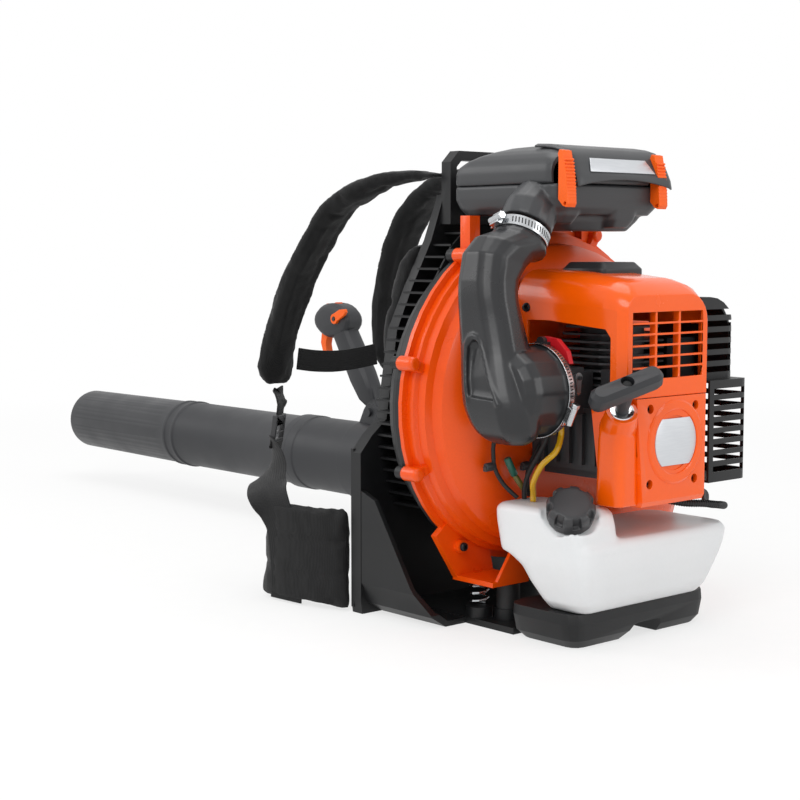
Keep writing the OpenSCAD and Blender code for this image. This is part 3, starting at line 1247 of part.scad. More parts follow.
module shoulder_pad(points) {
  path = curve(points, 2);
  n = len(path) - 1;
  us = carry(path, [1, 0, 0]);
  color(fabric) loft([for (i = [0:n])
    let (
      w = pad_w * lookup(i, [[0, 0.44], [3, 0.46], [8, 1], [n - 2, 1], [n, 0.6]]),
      h = pad_t * lookup(i, [[0, 0.4], [4, 0.5], [8, 1], [n - 1, 1], [n, 0.5]])
    )
      on_frame(quilt_section(w, h), path[i], us[i], cross(tangent(path, i), us[i]))]);
}
module shoulder_pad_left() { shoulder_pad(left_pad); }
module shoulder_pad_right() { shoulder_pad(right_pad); }

// Webbing along a path; its width turns from u0 to u1 over the first half
module strap(points, w, t, steps, u0, u1) {
  path = curve(points, steps);
  n = len(path) - 1;
  ring = rrect(w, t, t * 0.4, 1);
  loft([for (i = [0:n])
    let (d = tangent(path, i), k = min(2 * i / n, 1), u = u0 * (1 - k) + u1 * k, x = unit(u - (u * d) * d))
      on_frame(ring, path[i], x, cross(d, x))]);
}
pad_edge = 90 - pad_w / 2 - gap;
module chest_strap() {
  color(fabric)
    strap([[-pad_edge, 312, 256], [-34, 315, 252], [0, 317, 250], [34, 318, 252], [pad_edge, 315, 256]],
      26, web_t, 3, [0, 0, 1], [0, 0, 1]);
}

buckle_at = [[-104, 296, 178], [91, 300, 178]];
buckle_turn = [35, 8];
web_left = unit([0.82, 0.57, 0]);
web_right = unit([1, 0.14, 0]);
belt_left_dir = unit([-4, 35, 0]);
belt_right_dir = unit([-10, 30, 0]);
module strap_webbing() {
  color(fabric) {
    strap([[-90, 311, 223.6], [-90, 311, 220.6], [-90.5, 310.5, 217], [-99, 298, 211], [-101.9, 293, 204], [-102.3, 293.6, 199.5],
      [-102.7, 294.1, 194.35]], 22, web_t, 2, web_left, web_left);
    strap([
      [-105.35, 297.95, 161], [-105.7, 298.5, 157], [-106.2, 299.2, 152], [-120, 285, 143], [-141, 262, 133],
      [-163, 240, 124], [-175.5, 217, 115], [-178.3, 202, 100], [-176.8, 192, 78], [-176, 187.3, 40], [-176, 187.3, 2.5]
    ], web_w, web_t, 2, web_left, belt_left_dir);
    strap([[90, 307.8, 235.2], [90, 304, 222], [91.2, 297, 212], [91.5, 296.5, 204], [91.45, 297, 199.5],
      [91.32, 297.68, 194.35]], 22, web_t, 2, web_right, web_right);
    strap([
      [90.65, 302.4, 161], [90.6, 303, 157], [90.5, 303.6, 152], [93, 280, 139], [97, 246, 122], [103.5, 214, 110],
      [104.2, 196, 80], [104, 192, 40], [104, 192, 3]
    ], web_w * 0.7, web_t, 2, web_right, belt_right_dir);
  }
}
module strap_buckles() {
  color(black) for (i = [0, 1]) translate(buckle_at[i]) rotate([8, 0, buckle_turn[i]]) difference() {
    translate([-17, -3, -16]) cube([34, 6, 32]);
    for (z = [-12, -3.5, 5]) translate([-13, -4, z]) cube([26, 8, 6.5]);
  }
}

belt_left = [[-151.5, 104.9], [-153.5, 114], [-160, 135], [-167, 165], [-171, 200], [-170, 225], [-166, 238]];
belt_right = [[114.5, 104.9], [113, 116], [108, 142], [102, 175], [92, 205], [78, 226], [66, 236]];
belt_t = 9;
belt_z = [1, 112];
function belt_section(t, h0, h1) =
  let (r = t / 2, a = h0 + (h1 - h0) * 0.33, b = h0 + (h1 - h0) * 0.67)
    [[-r, h0 + 6], [-r / 2, h0], [r / 2, h0], [r, h0 + 6], [r, a - 4], [r - 2, a], [r, a + 4], [r, b - 4], [r - 2, b],
      [r, b + 4], [r, h1 - 6], [r / 2, h1], [-r / 2, h1], [-r, h1 - 6], [-r, b + 4], [2 - r, b], [-r, b - 4],
      [-r, a + 4], [2 - r, a], [-r, a - 4]];
module belt_wing(points) {
  path = curve([for (p = points) [p[0], p[1], 0]], 3);
  n = len(path) - 1;
  loft(reversed([for (i = [0:n])
    let (u = unit(cross(tangent(path, i), [0, 0, 1])), s = lookup(i, [[0, 0.6], [2, 1], [n - 2, 1], [n, 0.5]]))
      on_frame(belt_section(belt_t * s, belt_z[0] + (1 - s) * 14, belt_z[1] - (1 - s) * 14), path[i], u, [0, 0, 1])]));
}
module hip_belt() {
  color(fabric) {
    belt_wing(belt_left);
    belt_wing(belt_right);
  }
}

// ---------------------------------------------------------------- output
back_frame();
intake_cage();
fan_housing_inner();
fan_housing_outer();
vibration_mounts();
mount_springs();
base_shoe();
fuel_tank();
crankcase();
cylinder_block();  // cylinder
main_bearings();
spark_plug();
spark_plug_boot();
muffler();
muffler_guard();
engine_cover();
starter_cover();
plug_cover();
ignition_coil();
carburettor();
carburettor_adapter();
intake_duct();
duct_clamps();
filter_tray();
filter_element();
casing_screws();
fuel_lines();
conduit_rear();
conduit_front();
outlet_pipe();
back_pad();
hip_belt();
shoulder_pad_left();
shoulder_pad_right();
chest_strap();
strap_webbing();
strap_buckles();
impeller();
crankshaft();
flywheel();
starter_pulley();
starter_grip();
starter_rope();
piston();
cap_plug();
cap_shell();
filter_cover();
latch_left();
latch_right();
choke_lever();
throttle_arm();
bellows_rear();
bellows_ring();
bellows_front();
control_tube();
blower_tubes();
control_handle();
throttle_trigger();
cruise_lever();
stop_switch();
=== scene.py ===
import math

import bmesh
import bpy
from mathutils import Matrix, Vector, noise


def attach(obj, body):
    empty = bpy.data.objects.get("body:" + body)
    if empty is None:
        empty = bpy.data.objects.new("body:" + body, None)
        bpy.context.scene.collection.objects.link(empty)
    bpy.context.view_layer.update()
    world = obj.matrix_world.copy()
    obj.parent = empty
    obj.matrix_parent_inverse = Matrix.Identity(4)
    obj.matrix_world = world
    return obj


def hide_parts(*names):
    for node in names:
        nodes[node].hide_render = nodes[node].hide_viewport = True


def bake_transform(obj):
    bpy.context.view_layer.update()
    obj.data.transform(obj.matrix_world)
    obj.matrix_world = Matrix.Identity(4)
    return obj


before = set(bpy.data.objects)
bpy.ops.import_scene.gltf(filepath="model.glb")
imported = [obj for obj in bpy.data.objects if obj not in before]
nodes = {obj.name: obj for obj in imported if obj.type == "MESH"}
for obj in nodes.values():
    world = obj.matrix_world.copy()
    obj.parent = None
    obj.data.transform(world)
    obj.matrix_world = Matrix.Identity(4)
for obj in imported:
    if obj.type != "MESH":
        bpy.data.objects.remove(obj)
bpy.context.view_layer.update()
mm = 0.001

# ---------------------------------------------------------------- camera
# A long lens at the height of the filter, turned to the engine's left front.
camera_data = bpy.data.cameras.new("camera")
camera_data.sensor_width = 36.0
camera_data.lens = 72.45
camera_data.clip_start = 0.05
camera_data.clip_end = 60.0
camera = bpy.data.objects.new("camera", camera_data)
camera.location = (-1.22669, -1.20251, 0.388)
camera.rotation_euler = (math.radians(90 - 5.43), 0, math.radians(-41.2))
bpy.context.scene.collection.objects.link(camera)
bpy.context.scene.camera = camera

# ---------------------------------------------------------------- floor and light
# A white studio sweep: matt paper on the floor, wide lamps left, right, behind and overhead.
# The paper fades to plain white with distance from the machine, and keeps its shadow.
scene = bpy.context.scene
scene.view_settings.view_transform = "Standard"


def linear(code):
    """Turns an sRGB hex colour, such as "F0501E", to linear RGBA."""
    channels = [int(code[i:i + 2], 16) / 255 for i in (0, 2, 4)]
    return [c / 12.92 if c <= 0.04045 else ((c + 0.055) / 1.055) ** 2.4 for c in channels] + [1.0]


def node(tree, kind, settings=None, links=()):
    """Adds one shader node. A setting is an attribute, or an input by name or number."""
    made = tree.nodes.new("ShaderNode" + kind)
    for key, value in (settings or {}).items():
        if isinstance(key, str) and hasattr(made, key):
            setattr(made, key, value)
        else:
            made.inputs[key].default_value = value
    for socket, source in links:
        tree.links.new(source, made.inputs[socket])
    return made


def white_to_camera(tree):
    """One for what the camera, gloss and glass see, and nought for light that only falls."""
    path = node(tree, "LightPath")
    seen = node(tree, "Math", {"operation": "MAXIMUM"},
                [(0, path.outputs["Is Camera Ray"]), (1, path.outputs["Is Glossy Ray"])])
    return node(tree, "Math", {"operation": "MAXIMUM"},
                [(0, seen.outputs[0]), (1, path.outputs["Is Transmission Ray"])]).outputs[0]


def bm_mesh(name, bm, angle=None):
    """The mesh of a bmesh, which is freed; it is shaded smooth where an angle is given."""
    mesh = bpy.data.meshes.new(name)
    bm.to_mesh(mesh)
    bm.free()
    if angle:
        shade(mesh, angle)
    return mesh


def shade(mesh, angle=32):
    """Smooth shading that keeps edges sharper than the angle."""
    mesh.shade_smooth()
    mesh.set_sharp_from_angle(angle=math.radians(angle))


world = bpy.data.worlds.new("studio")
scene.world = world
world.use_nodes = True
world.node_tree.nodes.clear()
level = node(world.node_tree, "MapRange", {"To Min": 0.62, "To Max": 1.0},
             [("Value", white_to_camera(world.node_tree))])
air = node(world.node_tree, "Background", {"Color": (1, 1, 1, 1)}, [("Strength", level.outputs[0])])
node(world.node_tree, "OutputWorld", links=[("Surface", air.outputs[0])])

paper = bpy.data.materials.new("white_paper")
paper.use_nodes = True
tree = paper.node_tree
tree.nodes.clear()
place = node(tree, "TexCoord")
reach = node(tree, "VectorMath", {"operation": "LENGTH"}, [(0, place.outputs["Object"])])
sweep = node(tree, "MapRange", {"From Min": 0.4, "From Max": 2.6, "To Min": 0.7, "To Max": 1.0},
             [("Value", reach.outputs["Value"])])
share = node(tree, "Math", {"operation": "MULTIPLY"},
             [(0, white_to_camera(tree)), (1, sweep.outputs[0])]).outputs[0]
fibre = node(tree, "TexNoise", {"Scale": 900.0, "Detail": 2.0})
tint = node(tree, "MixRGB", {"Color1": linear("F7F7F6"), "Color2": linear("F1F1F0")},
            [("Fac", fibre.outputs[0])])
lit = node(tree, "BsdfDiffuse", links=[("Color", tint.outputs[0])])
glow = node(tree, "Emission", {"Color": (1, 1, 1, 1), "Strength": 1.0})
mixed = node(tree, "MixShader", links=[(0, share), (1, lit.outputs[0]), (2, glow.outputs[0])])
node(tree, "OutputMaterial", links=[("Surface", mixed.outputs[0])])

bm = bmesh.new()
bmesh.ops.create_grid(bm, x_segments=1, y_segments=1, size=12.0)
floor = bpy.data.objects.new("floor", bm_mesh("floor", bm))
floor.data.materials.append(paper)
scene.collection.objects.link(floor)

for name, place, aim, size, power in (
    ("key_lamp", (-2.1, -1.0, 1.9), (0, 0, 0.2), 1.5, 26),
    ("fill_lamp", (0.9, -2.4, 1.2), (0, 0, 0.2), 1.3, 12),
    ("top_lamp", (0.1, 0.3, 2.5), (0, 0.1, 0.2), 1.8, 20),
    ("back_lamp", (-1.6, 1.9, 1.5), (0, 0.3, 0.3), 1.2, 12),
):
    data = bpy.data.lights.new(name, "AREA")
    data.shape = "DISK"
    data.size = size
    data.energy = power
    lamp = bpy.data.objects.new(name, data)
    lamp.location = place
    lamp.rotation_euler = (Vector(aim) - Vector(place)).to_track_quat("-Z", "Y").to_euler()
    scene.collection.objects.link(lamp)

# ---------------------------------------------------------------- frame, cage and stand
# The back frame, the slatted intake guard, the inner fan housing and the shoe under the tank are
# injection moulded in black glass-filled nylon: a matt skin with a faint grain.


def finish(name, **settings):
    """A new material with a principled shader; returns it, its node tree and the shader."""
    made = bpy.data.materials.new(name)
    made.use_nodes = True
    made.node_tree.nodes.clear()
    shader = node(made.node_tree, "BsdfPrincipled",
                  {key.replace("_", " "): value for key, value in settings.items()})
    node(made.node_tree, "OutputMaterial", links=[("Surface", shader.outputs[0])])
    return made, made.node_tree, shader


def moulded(name, dark, light, roughness, grain, depth, speckle=0.05, **settings):
    """Moulded plastic with a grain of so many mm, depth mm deep, and a cloudy skin."""
    made, tree, shader = finish(name, **settings)
    place = node(tree, "TexCoord").outputs["Object"]
    cloud = node(tree, "TexNoise", {"Scale": 14.0, "Detail": 5.0, "Roughness": 0.6},
                 [("Vector", place)])
    fine = node(tree, "TexNoise", {"Scale": 1000 / grain, "Detail": 1.5}, [("Vector", place)])
    mixed = node(tree, "MixRGB", {"Color1": linear(dark), "Color2": linear(light)},
                 [("Fac", cloud.outputs[0])])
    speck = node(tree, "MapRange", {"From Min": 0.3, "From Max": 0.7, "To Min": 1 - speckle,
                                    "To Max": 1 + speckle}, [("Value", fine.outputs[0])])
    toned = node(tree, "MixRGB", {"blend_type": "MULTIPLY", "Fac": 1.0},
                 [("Color1", mixed.outputs[0]), ("Color2", speck.outputs[0])])
    rough = node(tree, "MapRange", {"From Min": 0.35, "From Max": 0.65,
                                    "To Min": roughness - 0.05, "To Max": roughness + 0.06},
                 [("Value", cloud.outputs[0])])
    bump = node(tree, "Bump", {"Strength": 1.0, "Distance": depth * mm},
                [("Height", fine.outputs[0])])
    for socket, source in (("Base Color", toned), ("Roughness", rough), ("Normal", bump)):
        tree.links.new(source.outputs[0], shader.inputs[socket])
    return made


def skin(name, material):
    """Gives a CAD node's own object its finish."""
    nodes[name].data.materials.clear()
    nodes[name].data.materials.append(material)


def place_piece(name, mesh, material, body):
    """Makes a mesh a piece with its material and body."""
    piece = bpy.data.objects.new(name, mesh)
    scene.collection.objects.link(piece)
    mesh.materials.clear()
    mesh.materials.append(material)
    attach(piece, body)
    return piece


def merged(name):
    """A bmesh of a CAD node with its loose triangles merged and its flat faces joined."""
    bm = bmesh.new()
    bm.from_mesh(nodes[name].data)
    bmesh.ops.remove_doubles(bm, verts=bm.verts, dist=0.02 * mm)
    bmesh.ops.dissolve_degenerate(bm, edges=bm.edges, dist=0.01 * mm)
    bmesh.ops.dissolve_limit(bm, angle_limit=math.radians(1.5), verts=bm.verts, edges=bm.edges)
    return bm


def bevelled(piece, width, angle=30):
    """Eases a piece's edges by so many mm where they are sharper than the angle."""
    bevel = piece.modifiers.new("edges", "BEVEL")
    bevel.width, bevel.segments = width * mm, 2
    bevel.limit_method, bevel.angle_limit = "ANGLE", math.radians(angle)


def eased(name, radius, material, body):
    """Stands in for a CAD node with every edge eased to a moulding's small radius."""
    mesh = bm_mesh(name + "_shell", merged(name), 32)
    piece = place_piece(name + "_shell", mesh, material, body)
    bevelled(piece, radius, moulded_corner)
    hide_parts(name)
    return piece


moulded_corner = 28  # degrees; flatter corners are facets of a curve and stay as they are
nylon = moulded("glass_filled_nylon", "101012", "18191A", 0.46, 1.1, 0.04,
                Specular_IOR_Level=0.36)
for name in ("back_frame", "base_shoe"):
    eased(name, 0.8, nylon, "root")
skin("intake_cage", nylon)
skin("fan_housing_inner", nylon)

# ---------------------------------------------------------------- fan housing and engine covers
# Orange covers: the housing half is cast magnesium, powder coated satin; the engine and starter
# covers are gloss-moulded nylon with a slight orange peel and a clear skin.
# the housing's orange is darker and redder than the covers': partly the satin casting's own colour,
# partly painted shade for the shade the housing sits in
coated = moulded("powder_coated_casting", "E44A02", "EC5404", 0.3, 2.2, 0.02, 0.02,
                 Specular_IOR_Level=0.32, Coat_Weight=0.12, Coat_Roughness=0.1)
gloss = moulded("gloss_orange_nylon", "EF5600", "F55F02", 0.22, 6.0, 0.01, 0.01,
                Specular_IOR_Level=0.34, Coat_Weight=0.2, Coat_Roughness=0.05)
eased("fan_housing_outer", 0.9, coated, "root")
eased("engine_cover", 1.0, gloss, "root")
eased("starter_cover", 1.0, gloss, "root")

# ---------------------------------------------------------------- small covers and latches
# The plug cover is a dark satin lid; the latches are orange acetal with a ribbed thumb face.
charcoal = moulded("satin_charcoal_nylon", "232426", "2C2D2F", 0.42, 1.0, 0.03,
                   Specular_IOR_Level=0.4)
eased("plug_cover", 1.0, charcoal, "root")
latch = moulded("orange_latch_nylon", "F25A04", "F8660A", 0.4, 1.0, 0.03,
                Specular_IOR_Level=0.35)
for name in ("latch_left", "latch_right"):
    eased(name, 0.5, latch, name)

# ---------------------------------------------------------------- tubes, handle and levers
# The blower tubes and the control handle are matt dark nylon, the trigger, cruise lever and stop
# switch the latches' orange nylon, and the choke lever red; each turns on a pin in its seat.
tube = moulded("matt_tube_nylon", "26272A", "2E2F32", 0.46, 1.2, 0.03, Specular_IOR_Level=0.4)
for name, body in (("control_tube", "tube"), ("blower_tubes", "tube"), ("bellows_ring", "ring"),
                   ("outlet_pipe", "root"), ("control_handle", "handle"), ("starter_grip", "grip")):
    eased(name, 0.7, tube, body)
for name, body in (("throttle_trigger", "trigger"), ("cruise_lever", "cruise_lever"),
                   ("stop_switch", "stop_switch")):
    eased(name, 0.5, latch, body)
red = moulded("red_lever_nylon", "C01420", "CC1C26", 0.35, 1.0, 0.03)
eased("choke_lever", 0.5, red, "choke_lever")

# ---------------------------------------------------------------- engine and running gear
# What is seen of the engine through its covers: castings painted black, bare cast wheels, plated
# and blackened steel, and rubber mounts. These keep the solids' own form.
rubber = moulded("black_rubber", "151516", "1C1C1D", 0.6, 1.2, 0.04)
metal = moulded("zinc_plated_steel", "B9BCBF", "C6C9CB", 0.28, 1.0, 0.02, Metallic=1.0)
cast = moulded("cast_aluminium", "9A9DA0", "A9ACAE", 0.45, 1.6, 0.08, Metallic=1.0)
engine_cast = moulded("black_painted_casting", "3A3B3D", "47484A", 0.5, 1.6, 0.08, Metallic=0.5)
blacksteel = moulded("black_oxide_steel", "202124", "2A2B2E", 0.38, 1.0, 0.02, Metallic=0.6)
filterpaper = moulded("filter_paper", "D8CFB4", "E2DAC2", 0.9, 0.8, 0.05)
for material, names in (
    (rubber, ("vibration_mounts", "spark_plug_boot")),
    (metal, ("mount_springs", "main_bearings", "spark_plug", "crankshaft", "throttle_arm")),
    (cast, ("flywheel", "piston")),
    (engine_cast, ("crankcase", "cylinder")),
    (blacksteel, ("muffler",)),
    (charcoal, ("ignition_coil", "carburettor", "carburettor_adapter", "impeller",
                "starter_pulley")),
    (filterpaper, ("filter_element",)),
):
    for name in names:
        skin(name, material)

# ---------------------------------------------------------------- air filter housing
# Two satin grey mouldings that meet at a level seam, the lid with a visor over its front and a
# dark slot behind each latch; the tray's underside is sculpted into feet round the duct's neck.


def bridged(bm, loops):
    """Bridges loops of vertices in turn and closes both ends."""
    faces = []
    for low, high in zip(loops, loops[1:]):
        near = set(low) | set(high)
        edges = {e for v in near for e in v.link_edges if e.verts[0] in near and e.verts[1] in near
                 and (e.verts[0] in low) == (e.verts[1] in low)}
        faces += bmesh.ops.bridge_loops(bm, edges=list(edges))["faces"]
    for ring in (loops[0], loops[-1]):
        edges = {e for v in ring for e in v.link_edges if e.verts[0] in ring and e.verts[1] in ring}
        faces += bmesh.ops.contextual_create(bm, geom=list(edges))["faces"]
    bmesh.ops.recalc_face_normals(bm, faces=faces)


def skin_rings(bm, rings):
    """A closed body over rings of equal count, each a list of (x, y, z) in mm."""
    loops = []
    for ring in rings:
        made = bmesh.ops.create_circle(bm, segments=len(ring), radius=mm)["verts"]
        for vert, place in zip(made, ring):
            vert.co = Vector(place) * mm
        loops.append(made)
    bridged(bm, loops)


def smooth_curve(points, steps):
    """The points, with steps points on the smooth curve between each two."""
    made, last = [], len(points) - 1
    for i in range(last):
        p0, p1, p2, p3 = (points[max(0, min(last, k))] for k in range(i - 1, i + 3))
        for t in (k / steps for k in range(steps)):
            made.append(0.5 * (2 * p1 + (p2 - p0) * t + (2 * p0 - 5 * p1 + 4 * p2 - p3) * t * t
                               + (3 * p1 - p0 - 3 * p2 + p3) * t * t * t))
    return made + [points[-1]]


corner_steps = [0.02 + 0.96 * i / 4 for i in range(5)]  # short of a quarter, so none coincide


def box_section(width, depth, corner, cut=0.0):
    """A rectangle with broken corners: cut 0 is round, 1 is a straight chamfer."""
    points = []
    for quarter in range(4):
        for t in corner_steps:
            angle, start = math.radians(90 * (quarter + t)), math.radians(90 * quarter)
            round_way = Vector((math.cos(angle), math.sin(angle)))
            flat_way = Vector((math.cos(start), math.sin(start))).lerp(
                Vector((-math.sin(start), math.cos(start))), t)
            way = round_way.lerp(flat_way, cut) * corner
            points.append(((width / 2 - corner) * (1 if quarter in (0, 3) else -1) + way.x,
                           (depth / 2 - corner) * (1 if quarter < 2 else -1) + way.y))
    return points


def level_ring(x0, x1, y0, y1, corner, z):
    """A level ring in mm between two X and two Y limits."""
    return [((x0 + x1) / 2 + x, (y0 + y1) / 2 + y, z)
            for x, y in box_section(x1 - x0, y1 - y0, corner)]


def round_ring(centre, way, radius):
    """A ring of a radius about a point, square to a way that leads down or along -X."""
    side = Vector((0, 1, 0)) - Vector(way) * way[1]
    side.normalize()
    first = side.cross(-Vector(way))
    return [Vector(centre) + radius * (first * math.cos(a) + side * math.sin(a))
            for a in (math.radians(90 * (q + t)) for q in range(4) for t in corner_steps)]


def solid(name, *bodies):
    """A scratch object of closed bodies, each a list of rings."""
    bm = bmesh.new()
    for rings in bodies:
        skin_rings(bm, rings)
    made = bpy.data.objects.new(name, bm_mesh(name, bm))
    scene.collection.objects.link(made)
    return made


def cut_out(piece, tool):
    """Takes a scratch object out of a piece."""
    tool.hide_render = True
    cut = piece.modifiers.new("cut", "BOOLEAN")
    cut.operation, cut.solver, cut.object = "DIFFERENCE", "EXACT", tool


def fused(piece, voxel):
    """Makes one skin of a piece's bodies, in voxels of so many mm."""
    fuse = piece.modifiers.new("fuse", "REMESH")
    fuse.mode, fuse.voxel_size = "VOXEL", voxel * mm


def baked(piece):
    """The piece's mesh with its modifiers applied."""
    bpy.context.view_layer.update()
    seen = piece.evaluated_get(bpy.context.evaluated_depsgraph_get())
    mesh = bpy.data.meshes.new_from_object(seen)
    piece.modifiers.clear()
    return mesh


def moulding(name, bodies, voxel, rounds, cuts=(), later=()):
    """Fuses closed bodies, cuts pockets, softens every edge, then makes the late, crisp cuts."""
    piece = solid(name, *bodies)
    fused(piece, voxel)
    tools = [solid("tool", rings) for rings in (*cuts, *later)]
    for tool in tools[:len(cuts)]:
        cut_out(piece, tool)
    if cuts:
        fused(piece, voxel)
    soft = piece.modifiers.new("soft", "SMOOTH")
    soft.factor, soft.iterations = 0.5, rounds
    for tool in tools[len(cuts):]:
        cut_out(piece, tool)
    result = baked(piece)
    result.name = name
    for scratch in tools + [piece]:
        bpy.data.objects.remove(scratch)
    shade(result, 55)
    return result


grey = moulded("satin_grey_nylon", "343537", "3E3F41", 0.38, 1.0, 0.03, Specular_IOR_Level=0.4)
# near-black for strips laid on the clamps' bands: painted shade where their slots would show
slot_shade = moulded("painted_slot_shade", "121213", "18181A", 0.6, 1.0, 0.03)
# (height, how far each of the four sides has drawn in, corner radius)
lid_plan = [(450, 0, 0, 0, 0, 14), (463, 0, 0, 0, 0, 14), (469, 1.5, 1.5, 1.5, 3, 14),
            (475, 5, 5, 4, 12, 14), (480, 10, 10, 9, 24, 15), (484, 17, 17, 16, 36, 16),
            (488, 30, 30, 30, 50, 16), (490.5, 50, 50, 48, 70, 12)]


def lid_rings(wall):
    """The lid's outer rings, or its inner ones a wall thickness in."""
    return [level_ring(-78 + a + wall, 85 - b - wall, -120 + c + wall, 30 - d - wall,
                       max(corner - wall, 4), z - wall if z > 455 else z - (3 if wall else 0))
            for z, a, b, c, d, corner in lid_plan]


# each latch lies in a slot whose back leans by 1.5 mm between its foot and its head
latch_slots = [[[(x - 8, -124, z), (x + 8, -124, z), (x + 8, back, z), (x - 8, back, z)]
                for z, back in ((446, -112.5), (484, -111))] for x in (-69, 68)]
lid = moulding("lid_shell", [lid_rings(0)], 1.6, 5, later=[lid_rings(2.5), *latch_slots])
piece = place_piece("filter_lid", lid, grey, "filter_cover")
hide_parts("filter_cover")

# the visor: a raised front panel between the latches, its lip arched over the tray
visor_rows = [(-133, 446.4), (-131.2, 455), (-127.6, 462.5), (-120, 477), (-111.5, 484.2),
              (-99, 488), (-86, 490), (-72, 490.8)]
visor_left, visor_right = -59, 83


def visor_point(u, v):
    """The visor's outer face in mm: u runs across it, v runs up from the lip."""
    step = v * (len(visor_rows) - 1)
    low = min(int(step), len(visor_rows) - 2)
    y, z = Vector(visor_rows[low]).lerp(Vector(visor_rows[low + 1]), step - low)
    x = visor_left + (visor_right - visor_left) * u
    edge = min(1.0, min(x - visor_left, visor_right - x) / 7)
    drop = 2.2 * (1 - math.sqrt(max(0.0, 1 - (1 - edge) ** 2)))
    arch = 7.4 * math.sin(math.pi * u) ** 0.8 * max(0, (462 - z) / 13.6)
    return x, y + drop * (0.8 if z < 480 else 0.2), z + arch - (drop if z > 470 else 0)


bm = bmesh.new()
bmesh.ops.create_grid(bm, x_segments=36, y_segments=14, size=0.5)
for vert in bm.verts:
    vert.co = Vector(visor_point(vert.co.x + 0.5, vert.co.y + 0.5)) * mm
piece = place_piece("filter_visor", bm_mesh("filter_visor", bm, 40), grey, "filter_cover")
wall = piece.modifiers.new("wall", "SOLIDIFY")
wall.thickness, wall.offset = 2.2 * mm, -1.0
bevelled(piece, 0.7, 50)

# the tray: a rim under the seam, sculpted feet with pockets between them, and the duct's elbow
neck_base = Vector((-88, -88, 408))
neck_way = Vector((-0.55, -0.1, -0.83)).normalized()


def neck_ring(shift, radius):
    """A ring round the slanting neck, so far along it from the tray's end."""
    return round_ring(neck_base + neck_way * shift, neck_way, radius)


def foot(x0, x1, y0, bottom):
    """A tapering block under the tray."""
    return [level_ring(x0 + 5, x1 - 5, y0 + 9, -64, 7, bottom),
            level_ring(x0 + 1, x1 - 1, y0 + 3, -62, 8, bottom + 8),
            level_ring(x0, x1, y0, -60, 8, 428)]


tray = moulding("tray_shell", [
    [level_ring(-70, 77, -112, 22, 14, 420), level_ring(-76, 83, -118, 28, 18, 427),
     level_ring(-78, 85, -120, 30, 14, 436), level_ring(-78, 85, -120, 30, 14, 449.7)],
    [level_ring(-40, 58, -98, -66, 12, 404), level_ring(-62, 68, -104, -62, 14, 414),
     level_ring(-66, 76, -108, -60, 12, 426)],
    foot(-66, -34, -117, 411), foot(8, 50, -117, 407.5), foot(58, 79, -117, 424),
    [round_ring((-62, -84, 436), Vector((-0.75, 0, -0.66)).normalized(), 24), neck_ring(-20, 26.5),
     neck_ring(-8, 26.8), neck_ring(-0.4, 26.6)],
], 1.5, 4, later=[[level_ring(-74, 81, -116, 26, 11, 438), level_ring(-75, 82, -117, 27, 11, 452)]])
piece = place_piece("filter_tray_shell", tray, grey, "root")
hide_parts("filter_tray")

# ---------------------------------------------------------------- intake duct and its clamps
# Blow-moulded duct from the tray's neck down to the carburettor: a collar, a tall box with broken
# corners and a beaded pocket on its outer side, and a round cuff, held by two worm-drive clamps.
satin = moulded("satin_duct_nylon", "1D1D1F", "27282A", 0.3, 1.4, 0.015, 0.03,
                Specular_IOR_Level=0.42)
neck_radius = 26.6
cuff_centre = Vector((0, -125, 250))
duct_rings = [neck_ring(4, neck_radius), neck_ring(17, neck_radius), neck_ring(18.5, 28.6),
              neck_ring(23, 29.4)]
for centre, way, width, depth, corner in (((-120, -91, 386), (-0.42, 0, -0.91), 62, 58, 24),
                                          ((-133, -91, 375), (-0.28, 0, -0.96), 60, 57, 20)):
    across = Vector((0, 1, 0)).cross(-Vector(way)).normalized()
    duct_rings.append([Vector(centre) + across * x + Vector((0, y, 0))
                       for x, y in box_section(width, depth, corner, 0.3)])
# the tall box: (x, y, z) of its middle, width, depth and corner, from the shoulder down
column = [Vector(row) for row in (
    (-141.5, -92, 356, 52, 59, 19), (-144, -94, 340, 50.5, 61, 19), (-144, -98, 318, 51, 65, 19),
    (-144.5, -105, 288, 54, 70, 19), (-148.5, -113, 262, 56, 75, 20),
    (-150.5, -120, 238, 56, 80, 21), (-148, -123, 218, 49, 74, 20), (-144.7, -124, 207, 37, 60, 16),
    (-143, -124, 201, 20, 38, 9))]
for x, y, z, width, depth, corner in smooth_curve(column, 4):
    duct_rings.append([(x + a, y + b, z) for a, b in box_section(width, depth, corner, 0.45)])
cuff_rings = [round_ring(cuff_centre + Vector((x, 0, 0)), (-1, 0, 0), radius) for x, radius in
              ((-160, 34), (-152, 41), (-144, 43), (-112, 43), (-109.5, 45), (-103, 45))]
pocket_path = [Vector(point) for point in (
    (-178, -102, 242), (-177, -97.7, 258), (-173, -93, 281), (-171, -92, 297), (-170.6, -95.6, 302),
    (-170.4, -100.7, 304), (-170.5, -106.6, 302.3), (-170.8, -110.2, 298.7), (-172.6, -118, 282.5),
    (-176.2, -127, 263.6), (-177.5, -135.6, 249.7), (-178, -142.7, 240))]


def bead(points, radius, sink):
    """Rings of a round bead laid along points on the duct's outer side."""
    rings = []
    for i, point in enumerate(points):
        way = (points[min(i + 1, len(points) - 1)] - points[max(i - 1, 0)]).normalized()
        out = Vector((-1, 0, 0))
        side = way.cross(out)
        rings.append([point + sink * -out + radius * (out * math.cos(a) + side * math.sin(a))
                      for a in (math.radians(45 * k) for k in range(8))])
    return rings


middle = sum(pocket_path, Vector()) / len(pocket_path)
recess = [[Vector((point.x + sink, *(middle.yz + (point.yz - middle.yz) * scale)))
           for point in pocket_path] for sink, scale in ((-9, 0.94), (3, 0.84), (5, 0.66))]
duct = moulding("duct_shell", [duct_rings, cuff_rings, bead(pocket_path, 3.2, 1.2)], 1.1, 6,
                cuts=[recess])
piece = place_piece("intake_duct_shell", duct, satin, "root")
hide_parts("intake_duct")

